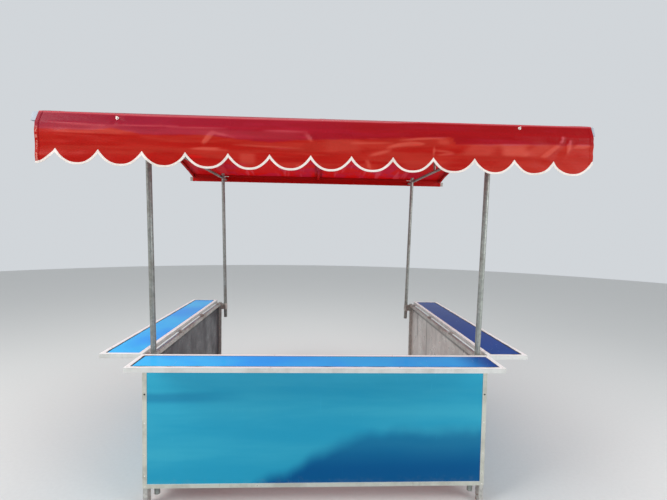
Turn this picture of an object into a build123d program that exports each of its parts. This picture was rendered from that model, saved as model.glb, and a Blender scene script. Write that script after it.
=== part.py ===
from build123d import *
import math
import os

# Market stall: three metal counters set in a U, open at the back, under a red vinyl canopy.
# Millimetres, +Z up. The public stands on the -Y side, the seller comes in from the +Y side.
# The origin is on the ground, under the middle of the canopy.

# Counters
COUNTER_WIDTH = 2000.0  # outside of the front counter, and over the two side counters
SIDE_COUNTER_LENGTH = 1950.0  # from the front counter's face to the rear end of a side counter
COUNTER_HEIGHT = 900.0  # ground to the top of the boards
TUBE = 25.0  # square tube of the counter frames
TUBE_WALL = 1.5
FOOT_PLATE = 3.0  # plate that closes a leg's lower end
SHEET = 1.0  # steel sheet on the outside of each frame
BOTTOM_RAIL_HEIGHT = 114.0  # ground to the underside of the panel's trim
ANGLE_WIDTH = 25.0  # aluminium angle round panels and boards
ANGLE_WALL = 1.5
CORNER_GAP = 0.3  # between the front counter and a side counter

# Boards, which stand out to the public's side
BOARD_DEPTH = 240.0
BOARD_THICKNESS = 25.0
SIDE_BOARD_LENGTH = 1875.0  # from the front counter's face
BOARD_CORNER_RADIUS = 3.0
ARM_WIDTH = 40.0  # flat bars that lie on the top rail and carry a board
ARM_THICKNESS = 10.0
ARM_END_GAP = 12.0  # from an arm's end to the inside of the board's edge
ARMS_PER_BOARD = 4

# Posts and their brackets
POST_DIAMETER = 32.0
POST_WALL = 2.0
POST_LEAN = 1.35  # degrees, outwards from the top of the counters' frames
REAR_POST_INSET = 18.0  # how much further in the rear posts stand
POST_TOP_RISE = 8.0  # from the top of the roof rails up to the top of a post
FRONT_POST_FOOT = 57.0  # height of the lower end over the ground
REAR_POST_FOOT = 714.0
SLEEVE_DIAMETER = 39.0
SLEEVE_HEIGHT = 60.0
SLEEVE_FIT = 0.3  # clearance round the post
SLEEVE_STANDOFF = 1.0  # between a sleeve's ring and the frames beside it
SLEEVE_BELOW_RAIL = 10.0  # from the top of the top rail down to the upper sleeve
LOWER_SLEEVE_HEIGHT = 150.0  # height of the lower sleeve's underside over the ground

# Canopy
CANOPY_WIDTH = 2690.0
CANOPY_DEPTH = 2600.0
FRONT_OVERHANG_DEPTH = 360.0  # from the front counter's face to the canopy's front
RIDGE_HEIGHT = 2340.0
RIDGE_SETBACK = 50.0  # from the canopy's middle back to the highest line of the roof
EDGE_RISE = 188.5  # rise of the roof's arc from its front edge to the ridge
VINYL = 2.5
FRONT_CORNER_RADIUS = 70.0
REAR_CORNER_RADIUS = 12.0

# Scallops along the front
SCALLOP_PITCH = 200.0
VALANCE_DROP = 187.5  # from the roof's front edge down to the cusps between scallops
SCALLOP_DROP = 55.0
SCALLOP_HANDLE = 0.275  # share of the pitch from a cusp to the control point of its curve
FIRST_CUSP_OFFSET = 88.0  # from the canopy's left edge to the first cusp
BINDING_WIDTH = 12.0
BINDING_PROUD = 1.0  # on each face of the vinyl
BINDING_CUSP_WIDTH = 23.5  # measured upright at a cusp

# Roof frame
RAIL_DIAMETER = 25.0  # round side rails
RAIL_WALL = 1.5
CROSS_RAIL_DEPTH = 20.0
CROSS_RAIL_HEIGHT = 40.0
FRONT_RAIL_SETBACK = 60.0  # from the canopy's front to the front rail
CROSS_RAIL_PROUD = 27.0  # past each side of the canopy
RIDGE_RAIL = 25.0
RIDGE_RAIL_SETBACK = 300.0  # from the canopy's middle back to the ridge rail and its struts
RIDGE_RAIL_INSET = 8.0  # from the canopy's side to the ridge rail's end
BOW_TUBE = 20.0
BOW_WALL = 1.5
BOW_INSET = 3.0  # from the canopy's side to an outer bow
STRUT_DIAMETER = 20.0
SEAT_GAP = 0.3  # where vinyl or a tube rests on a tube

# Places worked out from the sizes
HALF_DEPTH = CANOPY_DEPTH / 2
FRONT_FACE_Y = -HALF_DEPTH + FRONT_OVERHANG_DEPTH
FRAME_DEPTH = ANGLE_WALL + SHEET + TUBE
HALF_WIDTH = COUNTER_WIDTH / 2
BOARD_BOTTOM = COUNTER_HEIGHT - BOARD_THICKNESS
RAIL_TOP = BOARD_BOTTOM - ARM_THICKNESS
SIDE_START = FRAME_DEPTH + CORNER_GAP
SIDE_FRAME_LENGTH = SIDE_COUNTER_LENGTH - SIDE_START
POST_X = HALF_WIDTH - FRAME_DEPTH - SLEEVE_STANDOFF - SLEEVE_DIAMETER / 2
FRONT_POST_Y = FRONT_FACE_Y + FRAME_DEPTH + SLEEVE_STANDOFF + SLEEVE_DIAMETER / 2
REAR_POST_Y = FRONT_FACE_Y + SIDE_COUNTER_LENGTH - ANGLE_WALL - TUBE / 2
HALF_CANOPY = CANOPY_WIDTH / 2
ARC_REACH = HALF_DEPTH + RIDGE_SETBACK
ARC_RADIUS = (ARC_REACH**2 + EDGE_RISE**2) / (2 * EDGE_RISE)
ARC_CENTRE_HEIGHT = RIDGE_HEIGHT - ARC_RADIUS
FRONT_RAIL_Y = -HALF_DEPTH + FRONT_RAIL_SETBACK
REAR_RAIL_Y = HALF_DEPTH - VINYL - SEAT_GAP
POCKET_Y = REAR_RAIL_Y - CROSS_RAIL_DEPTH - SEAT_GAP - VINYL


def arc_height(y, inset=0.0):
    """Height of the roof's arc over the ground at y, inset below the outer face of the vinyl."""
    return ARC_CENTRE_HEIGHT + math.sqrt((ARC_RADIUS - inset) ** 2 - (y - RIDGE_SETBACK) ** 2)


CROSS_RAIL_TOP = arc_height(FRONT_RAIL_Y, VINYL + SEAT_GAP)
CROSS_RAIL_BOTTOM = CROSS_RAIL_TOP - CROSS_RAIL_HEIGHT
HEM_HEIGHT = CROSS_RAIL_BOTTOM - SEAT_GAP - VINYL
CUSP_HEIGHT = arc_height(-HALF_DEPTH) - VALANCE_DROP
POST_TOP = CROSS_RAIL_TOP + POST_TOP_RISE
SIDE_RAIL_HEIGHT = (CROSS_RAIL_TOP + CROSS_RAIL_BOTTOM) / 2
SIDE_RAIL_GAP = POST_DIAMETER / 2 + SEAT_GAP + RAIL_DIAMETER / 2
BOW_INSET_DEPTH = VINYL + SEAT_GAP
RIDGE_RAIL_TOP = arc_height(RIDGE_RAIL_SETBACK + RIDGE_RAIL / 2, BOW_INSET_DEPTH + BOW_TUBE) - SEAT_GAP


def box_between(low, high):
    """Box from its lowest corner to its highest one."""
    size = [h - l for l, h in zip(low, high)]
    middle = [(l + h) / 2 for l, h in zip(low, high)]
    return Pos(*middle) * Box(*size)


def square_tube(low, high, axis, wall=TUBE_WALL):
    """Square or rectangular tube between two corners, hollow along one axis (0, 1 or 2)."""
    inner_low = [l if i == axis else l + wall for i, l in enumerate(low)]
    inner_high = [h if i == axis else h - wall for i, h in enumerate(high)]
    return box_between(low, high) - box_between(inner_low, inner_high)


def round_bar(start, end, diameter):
    """Round bar along a straight line."""
    line = Edge.make_line(start, end)
    plane = Plane(origin=start, z_dir=line.tangent_at(0))
    return extrude(plane * Circle(diameter / 2), amount=line.length)


def round_tube(start, end, diameter, wall):
    """Round tube along a straight line."""
    return round_bar(start, end, diameter) - round_bar(start, end, diameter - 2 * wall)


# Counters, each drawn with its face on y = 0 towards -Y, and its middle at x = 0


def counter_leg(side, width):
    """Leg at one end of the frame, from the ground to the top of the top rail."""
    outer = width / 2 - ANGLE_WALL
    near, far = sorted((side * (outer - TUBE), side * outer))
    front = ANGLE_WALL + SHEET
    foot = box_between((near, front, 0.0), (far, front + TUBE, FOOT_PLATE))
    return square_tube((near, front, 0.0), (far, front + TUBE, RAIL_TOP), 2) + foot


def counter_rail(width, bottom):
    """Rail between the two legs."""
    reach = width / 2 - ANGLE_WALL - TUBE
    front = ANGLE_WALL + SHEET
    return square_tube((-reach, front, bottom), (reach, front + TUBE, bottom + TUBE), 0)


def board_arms(board_low, board_high, width):
    """Flat bars that reach out from the top rail under the board."""
    reach = width / 2 - ANGLE_WALL - TUBE
    low = max(board_low, -reach) + ARM_WIDTH
    high = min(board_high, reach) - ARM_WIDTH
    step = (high - low) / (ARMS_PER_BOARD - 1)
    outer = -BOARD_DEPTH + ANGLE_WALL + ARM_END_GAP
    inner = FRAME_DEPTH
    arms = []
    for i in range(ARMS_PER_BOARD):
        x = low + i * step
        arm_low = (x - ARM_WIDTH / 2, outer, RAIL_TOP)
        arms.append(box_between(arm_low, (x + ARM_WIDTH / 2, inner, BOARD_BOTTOM)))
    return Compound(children=arms)


def counter_panel(width):
    """Steel sheet on the outside of the frame."""
    reach = width / 2 - ANGLE_WALL
    bottom = BOTTOM_RAIL_HEIGHT + ANGLE_WALL
    return box_between((-reach, ANGLE_WALL, bottom), (reach, ANGLE_WALL + SHEET, RAIL_TOP))


def panel_trim(width):
    """Angle down both ends of the panel and along its foot, joined at the corners."""
    half = width / 2
    shell = box_between((-half, 0.0, BOTTOM_RAIL_HEIGHT), (half, ANGLE_WIDTH, RAIL_TOP))
    inner_half = half - ANGLE_WALL
    inner_bottom = BOTTOM_RAIL_HEIGHT + ANGLE_WALL
    shell -= box_between((-inner_half, ANGLE_WALL, inner_bottom), (inner_half, ANGLE_WIDTH, RAIL_TOP))
    window_half = half - ANGLE_WIDTH
    window_bottom = BOTTOM_RAIL_HEIGHT + ANGLE_WIDTH
    shell -= box_between((-window_half, 0.0, window_bottom), (window_half, ANGLE_WALL, RAIL_TOP))
    leg_inner = half - ANGLE_WALL - TUBE
    for side in (-1, 1):
        near, far = sorted((side * leg_inner, side * inner_half))
        leg_front = ANGLE_WALL + SHEET
        shell -= box_between((near, leg_front, BOTTOM_RAIL_HEIGHT), (far, ANGLE_WIDTH, inner_bottom))
    return shell


def board(board_low, board_high):
    """Board inside its trim."""
    low = (board_low + ANGLE_WALL, -BOARD_DEPTH + ANGLE_WALL, BOARD_BOTTOM)
    high = (board_high - ANGLE_WALL, -ANGLE_WALL, COUNTER_HEIGHT - ANGLE_WALL)
    return box_between(low, high)


def board_trim(board_low, board_high):
    """Angle round all four edges of a board, with its lip on top."""
    shell = box_between((board_low, -BOARD_DEPTH, BOARD_BOTTOM), (board_high, 0.0, COUNTER_HEIGHT))
    shell = fillet(shell.edges().filter_by(Axis.Z), BOARD_CORNER_RADIUS)
    low = (board_low + ANGLE_WALL, -BOARD_DEPTH + ANGLE_WALL, BOARD_BOTTOM)
    high = (board_high - ANGLE_WALL, -ANGLE_WALL, COUNTER_HEIGHT - ANGLE_WALL)
    shell -= box_between(low, high)
    window_low = (board_low + ANGLE_WIDTH, -BOARD_DEPTH + ANGLE_WIDTH, COUNTER_HEIGHT - ANGLE_WALL)
    window_high = (board_high - ANGLE_WIDTH, -ANGLE_WIDTH, COUNTER_HEIGHT)
    return shell - box_between(window_low, window_high)


def counter(name, place, width, board_low, board_high):
    """All the pieces of one counter, by name, at its place in the stall."""
    pieces = {
        "left_leg": counter_leg(-1, width),
        "right_leg": counter_leg(1, width),
        "top_rail": counter_rail(width, RAIL_TOP - TUBE),
        "bottom_rail": counter_rail(width, BOTTOM_RAIL_HEIGHT + ANGLE_WALL),
        "board_arms": board_arms(board_low, board_high, width),
        "panel": counter_panel(width),
        "panel_trim": panel_trim(width),
        "board": board(board_low, board_high),
        "board_trim": board_trim(board_low, board_high),
    }
    return {f"{name}_counter_{piece}": place * solid for piece, solid in pieces.items()}


def all_counters():
    """The front counter and the two side counters."""
    pieces = counter("front", Pos(0, FRONT_FACE_Y, 0), COUNTER_WIDTH, -HALF_WIDTH, HALF_WIDTH)
    middle_y = FRONT_FACE_Y + (SIDE_START + SIDE_COUNTER_LENGTH) / 2
    near_end = FRONT_FACE_Y - middle_y
    far_end = near_end + SIDE_BOARD_LENGTH
    left = Pos(-HALF_WIDTH, middle_y, 0) * Rot(0, 0, -90)
    right = Pos(HALF_WIDTH, middle_y, 0) * Rot(0, 0, 90)
    pieces |= counter("left", left, SIDE_FRAME_LENGTH, -far_end, -near_end)
    pieces |= counter("right", right, SIDE_FRAME_LENGTH, near_end, far_end)
    return pieces


# Posts


def post_x(y, height):
    """Distance of a post's axis from the stall's middle at a height, for a front or a rear post."""
    foot = POST_X if y == FRONT_POST_Y else POST_X - REAR_POST_INSET
    return foot + (height - RAIL_TOP) * math.tan(math.radians(POST_LEAN))


def post_point(side, y, height):
    """Point on a post's axis."""
    return (side * post_x(y, height), y, height)


def post(side, y, foot):
    """Round post, leaning outwards."""
    return round_tube(post_point(side, y, foot), post_point(side, y, POST_TOP), POST_DIAMETER, POST_WALL)


def sleeve(side, y, bottom):
    """Sleeve round a post, with a lug to the frame outside it."""
    top = bottom + SLEEVE_HEIGHT
    ring = round_bar(post_point(side, y, bottom), post_point(side, y, top), SLEEVE_DIAMETER)
    frame_x = side * (HALF_WIDTH - FRAME_DEPTH)
    near, far = sorted((side * post_x(y, bottom), frame_x))
    lug = box_between((near, y - TUBE / 2, bottom), (far, y + TUBE / 2, top))
    low, high = bottom - SLEEVE_DIAMETER, top + SLEEVE_DIAMETER
    bore = round_bar(post_point(side, y, low), post_point(side, y, high), POST_DIAMETER + 2 * SLEEVE_FIT)
    return ring + lug - bore


def all_posts():
    """Four posts and the sleeves that hold them to the side counters."""
    pieces = {}
    upper = RAIL_TOP - SLEEVE_BELOW_RAIL - SLEEVE_HEIGHT
    for name, side in (("left", -1), ("right", 1)):
        pieces[f"front_{name}_post"] = post(side, FRONT_POST_Y, FRONT_POST_FOOT)
        pieces[f"rear_{name}_post"] = post(side, REAR_POST_Y, REAR_POST_FOOT)
        sleeves = [
            sleeve(side, FRONT_POST_Y, LOWER_SLEEVE_HEIGHT),
            sleeve(side, FRONT_POST_Y, upper),
            sleeve(side, REAR_POST_Y, upper),
        ]
        pieces[f"{name}_post_sleeves"] = Compound(children=sleeves)
    return pieces


# Roof frame


def cross_rail(near):
    """Rail across the stall, between two upright planes, with its ends past the canopy's sides."""
    reach = HALF_CANOPY + CROSS_RAIL_PROUD
    low = (-reach, near, CROSS_RAIL_BOTTOM)
    return square_tube(low, (reach, near + CROSS_RAIL_DEPTH, CROSS_RAIL_TOP), 0, RAIL_WALL)


def arc_band(top, bottom, start, end):
    """Strip between two insets of the roof's arc and two upright lines, on the YZ plane."""
    strip = Circle(ARC_RADIUS - top) - Circle(ARC_RADIUS - bottom)
    strip = Pos(RIDGE_SETBACK, ARC_CENTRE_HEIGHT) * strip
    height = 2 * ARC_RADIUS
    return strip & (Pos((start + end) / 2, RIDGE_HEIGHT) * Rectangle(end - start, height))


def bow(x):
    """Square tube bent to the roof's arc, from the front rail to the hem, with its middle at x."""
    start = FRONT_RAIL_Y + CROSS_RAIL_DEPTH
    end = POCKET_Y - SEAT_GAP
    top = BOW_INSET_DEPTH
    bottom = top + BOW_TUBE
    outer = Plane.YZ * arc_band(top, bottom, start, end)
    inner = Plane.YZ * arc_band(top + BOW_WALL, bottom - BOW_WALL, start, end)
    tube = extrude(outer, amount=BOW_TUBE / 2, both=True)
    tube -= extrude(inner, amount=BOW_TUBE / 2 - BOW_WALL, both=True)
    return Pos(x, 0, 0) * tube


def side_rail_point(side, y):
    """Point on a side rail's axis, which runs along the outside of both posts."""
    front = post_x(FRONT_POST_Y, SIDE_RAIL_HEIGHT) + SIDE_RAIL_GAP
    rear = post_x(REAR_POST_Y, SIDE_RAIL_HEIGHT) + SIDE_RAIL_GAP
    share = (y - FRONT_POST_Y) / (REAR_POST_Y - FRONT_POST_Y)
    return (side * (front + share * (rear - front)), y, SIDE_RAIL_HEIGHT)


def side_rail_ends(side, beyond=0.0):
    """Ends of a side rail's axis, at the front rail and at the rear rail, or further on."""
    start = side_rail_point(side, FRONT_RAIL_Y + CROSS_RAIL_DEPTH - beyond)
    return start, side_rail_point(side, REAR_RAIL_Y - CROSS_RAIL_DEPTH + beyond)


def side_rail(side):
    """Round tube from the front rail to the rear rail, cut flush with both."""
    tube = round_tube(*side_rail_ends(side, RAIL_DIAMETER), RAIL_DIAMETER, RAIL_WALL)
    low = (-HALF_CANOPY, FRONT_RAIL_Y + CROSS_RAIL_DEPTH, CROSS_RAIL_BOTTOM)
    return tube & box_between(low, (HALF_CANOPY, REAR_RAIL_Y - CROSS_RAIL_DEPTH, CROSS_RAIL_TOP))


def strut(side):
    """Upright from a side rail to the ridge rail, coped over the side rail."""
    x, y, low = side_rail_point(side, RIDGE_RAIL_SETBACK)
    top = RIDGE_RAIL_TOP - RIDGE_RAIL
    tube = round_tube((x, y, low), (x, y, top), STRUT_DIAMETER, RAIL_WALL)
    rail = round_bar(*side_rail_ends(side), RAIL_DIAMETER)
    return (tube - rail).solids().sort_by(Axis.Z)[-1]


def roof_frame():
    """Side rails, cross rails, ridge rail, struts and bows."""
    ridge_reach = HALF_CANOPY - RIDGE_RAIL_INSET
    ridge_low = (-ridge_reach, RIDGE_RAIL_SETBACK - RIDGE_RAIL / 2, RIDGE_RAIL_TOP - RIDGE_RAIL)
    ridge_high = (ridge_reach, RIDGE_RAIL_SETBACK + RIDGE_RAIL / 2, RIDGE_RAIL_TOP)
    outer_bow = HALF_CANOPY - BOW_INSET - BOW_TUBE / 2
    return {
        "front_roof_rail": cross_rail(FRONT_RAIL_Y),
        "rear_roof_rail": cross_rail(REAR_RAIL_Y - CROSS_RAIL_DEPTH),
        "left_roof_rail": side_rail(-1),
        "right_roof_rail": side_rail(1),
        "ridge_rail": square_tube(ridge_low, ridge_high, 0, RAIL_WALL),
        "ridge_struts": Compound(children=[strut(-1), strut(1)]),
        "left_roof_bow": bow(-outer_bow),
        "middle_roof_bow": bow(0.0),
        "right_roof_bow": bow(outer_bow),
    }


# Canopy


def under_canopy(floor):
    """Side view of the canopy and the space under it, down to a floor, in Y and Z."""
    front_edge = arc_height(-HALF_DEPTH)
    rear_edge = arc_height(HALF_DEPTH)
    outline = Curve()
    outline += Line((-HALF_DEPTH, floor), (-HALF_DEPTH, front_edge))
    outline += ThreePointArc((-HALF_DEPTH, front_edge), (RIDGE_SETBACK, RIDGE_HEIGHT), (HALF_DEPTH, rear_edge))
    outline += Polyline((HALF_DEPTH, rear_edge), (HALF_DEPTH, floor), (-HALF_DEPTH, floor))
    face = make_face(outline)
    front_corner, rear_corner = face.vertices().sort_by(Axis.Y)[-2:].sort_by(Axis.X)
    face = fillet(front_corner, FRONT_CORNER_RADIUS)
    rear_corner = face.vertices().sort_by_distance(rear_corner)[0]
    return fillet(rear_corner, REAR_CORNER_RADIUS)


def rear_region(start, end, bottom):
    """Upright strip of the side view, between two places in Y, from a bottom to over the roof."""
    middle = ((start + end) / 2, (bottom + RIDGE_HEIGHT) / 2)
    return Pos(*middle) * Rectangle(end - start, RIDGE_HEIGHT - bottom)


def cover_section(floor):
    """Side view of the vinyl: front drop, roof, rear drop, and the pocket round the rear rail."""
    outside = under_canopy(floor)
    inside = offset(outside, -VINYL, kind=Kind.INTERSECTION)
    pocket_space = inside & rear_region(POCKET_Y + VINYL, HALF_DEPTH, HEM_HEIGHT + VINYL)
    skin = outside - inside
    skin -= Pos(HALF_DEPTH / 2, HEM_HEIGHT / 2) * Rectangle(HALF_DEPTH + 2 * VINYL, HEM_HEIGHT)
    pocket = outside & rear_region(POCKET_Y, HALF_DEPTH, HEM_HEIGHT)
    skin += pocket - pocket_space
    return skin - Pos(0, floor) * Rectangle(2 * HALF_DEPTH, 2 * VINYL)


def scallop_outline(cusp_height, depth, ceiling):
    """Region over a row of scallops, wider than the canopy, on the XZ plane."""
    first = -HALF_CANOPY + FIRST_CUSP_OFFSET - SCALLOP_PITCH
    count = math.ceil((HALF_CANOPY - first) / SCALLOP_PITCH)
    outline = Curve()
    for i in range(count):
        x = first + i * SCALLOP_PITCH
        handle = SCALLOP_HANDLE * SCALLOP_PITCH
        low = cusp_height - depth * 4 / 3  # a cubic reaches three quarters of the way to its control points
        after = x + SCALLOP_PITCH
        outline += Bezier((x, cusp_height), (x + handle, low), (after - handle, low), (after, cusp_height))
    last = first + count * SCALLOP_PITCH
    outline += Polyline((last, cusp_height), (last, ceiling), (first, ceiling), (first, cusp_height))
    return make_face(outline)


def scallop_block(cusp_height, depth):
    """The same region as a block over the canopy's whole depth."""
    ceiling = RIDGE_HEIGHT + VINYL
    face = Plane.XZ * scallop_outline(cusp_height, depth, ceiling)
    block = extrude(face, amount=CANOPY_DEPTH, both=True)
    limit = Pos(0, 0, ceiling / 2) * Box(CANOPY_WIDTH, 2 * CANOPY_DEPTH, ceiling)
    return block & limit


def canopy():
    """Vinyl cover with its scalloped front, and the white binding along the scallops."""
    lowest = CUSP_HEIGHT - SCALLOP_DROP
    floor = lowest - 2 * FRONT_CORNER_RADIUS
    cover = extrude(Plane.YZ * cover_section(floor), amount=HALF_CANOPY, both=True)
    for side in (-1, 1):
        cover -= round_bar(*side_rail_ends(side), RAIL_DIAMETER + 2 * SEAT_GAP)
    upper_cusp = CUSP_HEIGHT + BINDING_CUSP_WIDTH
    upper_depth = upper_cusp - (lowest + BINDING_WIDTH)
    over_binding = scallop_block(upper_cusp, upper_depth)
    over_edge = scallop_block(CUSP_HEIGHT, SCALLOP_DROP)
    cover &= over_binding
    tape_low = (-HALF_CANOPY, -HALF_DEPTH - BINDING_PROUD, lowest)
    tape_high = (HALF_CANOPY, -HALF_DEPTH + VINYL + BINDING_PROUD, upper_cusp)
    tape = box_between(tape_low, tape_high) & (over_edge - over_binding)
    return {"canopy_cover": cover, "canopy_binding": tape}


def write_parts(pieces):
    """One STEP file for each node, named after it."""
    os.makedirs("parts", exist_ok=True)
    for name, piece in pieces.items():
        solids = piece.solids()
        shape = solids[0] if len(solids) == 1 else Compound(children=list(solids))
        shape.label = name
        export_step(shape, f"parts/{name}.step")
        print(f"{name}: {len(solids)} solid(s), {sum(s.volume for s in solids):.0f} mm3")


write_parts(all_counters() | all_posts() | roof_frame() | canopy())
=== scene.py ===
"""Market stall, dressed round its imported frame.

Each node of the frame gets its own finish. The classes below add what the solids leave plain: the red vinyl as one
creased sheet with its sleeves, tape and stitches, the screws, seals and welds of the counters, and the bolts of the
roof. Metres, +Z up, in the frame's own axes.
"""

import logging
import math
from dataclasses import dataclass, field, replace
from enum import Enum

import bmesh
import bpy
import numpy as np
from mathutils import Matrix, Vector
from numpy.typing import NDArray


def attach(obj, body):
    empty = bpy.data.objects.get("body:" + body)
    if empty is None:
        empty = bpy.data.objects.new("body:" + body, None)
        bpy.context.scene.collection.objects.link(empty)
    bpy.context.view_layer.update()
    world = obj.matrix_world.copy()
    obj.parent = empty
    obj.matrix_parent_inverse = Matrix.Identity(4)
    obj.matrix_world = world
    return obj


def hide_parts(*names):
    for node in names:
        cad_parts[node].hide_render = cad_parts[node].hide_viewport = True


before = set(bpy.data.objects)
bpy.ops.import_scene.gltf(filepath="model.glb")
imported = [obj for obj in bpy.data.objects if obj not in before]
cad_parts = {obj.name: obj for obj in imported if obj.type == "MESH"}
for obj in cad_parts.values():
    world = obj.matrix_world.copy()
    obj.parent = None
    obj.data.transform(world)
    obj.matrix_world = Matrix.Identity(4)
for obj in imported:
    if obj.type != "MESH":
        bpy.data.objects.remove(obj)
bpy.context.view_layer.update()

Array = NDArray[np.float64]
Indices = NDArray[np.int64]
Colour = tuple[float, float, float, float]
Template = tuple[Array, Indices]
Place = tuple[float, float]
Place3 = tuple[float, float, float]
Piece = bpy.types.Object
Material = bpy.types.Material
Socket = bpy.types.NodeSocket

LOG = logging.getLogger("market_stall")
BODY = "root"
FULL_TURN = 2 * math.pi
SHARP_ANGLE = math.radians(38)
SECTION_STEPS = 8001
UP = np.array([0.0, 0.0, 1.0])
FRONT_PLACES = (-1.3, -1.157, -0.857, -0.357, 0.143, 0.343, 0.463)
FRONT_SAGS = (0.0, 0.001, 0.0055, 0.006, 0.0045, 0.004, 0.0)


class Slot(Enum):
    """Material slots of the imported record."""

    STEEL = "galvanised_steel"
    ALUMINIUM = "aluminium"
    BOARD = "blue_board"
    VINYL = "red_vinyl"
    TAPE = "white_binding"


class Outward(Enum):
    """The way a counter faces, as the direction of its outer side over the ground."""

    FRONT = (0.0, -1.0)
    LEFT = (-1.0, 0.0)
    RIGHT = (1.0, 0.0)


class Side(Enum):
    """Left or right of the stall, seen from the front."""

    LEFT = -1.0
    RIGHT = 1.0


# Surfaces, worked out as whole arrays


def linear(red: int, green: int, blue: int) -> Colour:
    """Turns the three 0 to 255 values that a screen shows into a colour for a shader.

    Args:
        red: Screen value of red.
        green: Screen value of green.
        blue: Screen value of blue.

    Returns:
        The colour in linear light, with full alpha.
    """
    shares = np.array([red, green, blue]) / 255.0
    light = np.where(shares <= 0.04045, shares / 12.92, ((shares + 0.055) / 1.055) ** 2.4)
    return (float(light[0]), float(light[1]), float(light[2]), 1.0)


def shaded(colour: Colour, share: float) -> Colour:
    """A colour made darker or lighter by one factor."""
    return (colour[0] * share, colour[1] * share, colour[2] * share, 1.0)


def smooth_step(values: Array, low: float, high: float) -> Array:
    """Share that eases from 0 at low to 1 at high: 3t^2 - 2t^3, with t the clipped place between them."""
    t = np.clip((values - low) / (high - low), 0.0, 1.0)
    return t * t * (3.0 - 2.0 * t)


def front_sag(x: Array) -> Array:
    """How far the roof's front edge has bent down: level steps joined by straight runs, none towards the right end."""
    return np.interp(x, FRONT_PLACES, FRONT_SAGS)


def waves(x: Array, s: Array, reach_x: float, reach_s: float, count: int, seed: int) -> Array:
    """Uneven field of about -1 to 1: a sum of sines, each with its own direction, length and phase.

    Args:
        x: Places across.
        s: Places along.
        reach_x: Usual wave length across.
        reach_s: Usual wave length along.
        count: Number of sines.
        seed: Seed of the directions and phases.

    Returns:
        The field at each place.
    """
    draw = np.random.default_rng(seed)
    turns = draw.normal(size=(count, 2)) * FULL_TURN / np.array([reach_x, reach_s])
    phase = draw.uniform(0.0, FULL_TURN, count)
    total = np.sin(x[..., None] * turns[:, 0] + s[..., None] * turns[:, 1] + phase).sum(axis=-1)
    return total / math.sqrt(2.0 * count)


def packed(*coordinates: Array | float) -> Array:
    """Coordinates side by side in the last axis; a single number stands for every place."""
    return np.stack(np.broadcast_arrays(*coordinates), axis=-1)


def grid_quads(rows: int, columns: int, wrap_rows: bool = False, wrap_columns: bool = False) -> Indices:
    """Faces of a grid whose corners are numbered row by row.

    Args:
        rows: Corners along the first parameter.
        columns: Corners along the second parameter.
        wrap_rows: Whether the last row joins the first.
        wrap_columns: Whether the last column joins the first.

    Returns:
        Four corner numbers for each face.
    """
    i = np.arange(rows if wrap_rows else rows - 1)[:, None]
    j = np.arange(columns if wrap_columns else columns - 1)[None, :]
    after_i, after_j = (i + 1) % rows, (j + 1) % columns
    corners = [i * columns + j, i * columns + after_j, after_i * columns + after_j, after_i * columns + j]
    return packed(*corners).reshape(-1, 4)


def mesh_piece(
    name: str,
    points: Array,
    quads: Indices,
    uv: Array | None = None,
    marks: dict[str, Array] | None = None,
    closed: bool = True,
) -> Piece:
    """Puts whole arrays of corners and faces into a new object at the origin.

    Args:
        name: Name of the piece.
        points: Corners, three numbers each, in any grid shape.
        quads: Four corner numbers for each face.
        uv: Two numbers for each corner, for patterns that follow the surface.
        marks: Named values for each corner, which the materials read.
        closed: Whether the piece is a shell whose poles are merged and whose faces are turned outwards.

    Returns:
        The object, smooth but for its sharp edges.
    """
    mesh = bpy.data.meshes.new(name)
    mesh.from_pydata(points.reshape(-1, 3).tolist(), [], quads.tolist())
    if uv is not None:
        corners = np.empty(len(mesh.loops), dtype=np.int32)
        mesh.loops.foreach_get("vertex_index", corners)
        layer = mesh.uv_layers.new(name="cloth")
        layer.data.foreach_set("uv", uv.reshape(-1, 2)[corners].astype(np.float32).ravel())
    for key, values in (marks or {}).items():
        mesh.attributes.new(key, "FLOAT", "POINT").data.foreach_set("value", values.astype(np.float32).ravel())
    if closed:
        shell = bmesh.new()
        shell.from_mesh(mesh)
        bmesh.ops.remove_doubles(shell, verts=shell.verts, dist=1e-6)
        bmesh.ops.recalc_face_normals(shell, faces=shell.faces)
        shell.to_mesh(mesh)
        shell.free()
    mesh.polygons.foreach_set("use_smooth", np.ones(len(mesh.polygons), dtype=bool))
    mesh.set_sharp_from_angle(angle=SHARP_ANGLE)
    piece = bpy.data.objects.new(name, mesh)
    bpy.context.scene.collection.objects.link(piece)
    return piece


def turned(profile: Array, segments: int, flats: Array | None = None) -> Template:
    """Shape turned round its own axis: each profile point goes round at its radius and height.

    Args:
        profile: Radius and height of each point, from the axis back to the axis.
        segments: Points round the axis.
        flats: Share of a hexagon at each profile point, where the radius is over the cosine of the angle to the
            nearest flat's middle. None leaves it round.

    Returns:
        Corners and faces of one such shape, with its axis along +Z.
    """
    angle = np.arange(segments) * FULL_TURN / segments
    to_flat = (angle + math.pi / 6) % (math.pi / 3) - math.pi / 6
    hexagon = 1.0 / np.cos(to_flat) - 1.0
    share = np.zeros(len(profile)) if flats is None else flats
    radius = profile[:, :1] * (1.0 + share[:, None] * hexagon[None, :])
    points = packed(radius * np.cos(angle), radius * np.sin(angle), profile[:, 1:])
    return points.reshape(-1, 3), grid_quads(len(profile), segments, wrap_columns=True)


def frames_on(normals: Array, along: Array) -> Array:
    """Turns a normal and a rough direction into three axes for each place.

    Args:
        normals: Directions that become the third axis, or one for all.
        along: Rough directions of the first axis, or one for all.

    Returns:
        One 3 by 3 array for each place, with the axes as its columns.
    """
    normals, along = np.broadcast_arrays(normals, along)
    third = normals / np.linalg.norm(normals, axis=-1, keepdims=True)
    first = along - third * (along * third).sum(axis=-1, keepdims=True)
    first = first / np.linalg.norm(first, axis=-1, keepdims=True)
    return packed(first, np.cross(third, first), third)


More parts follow.
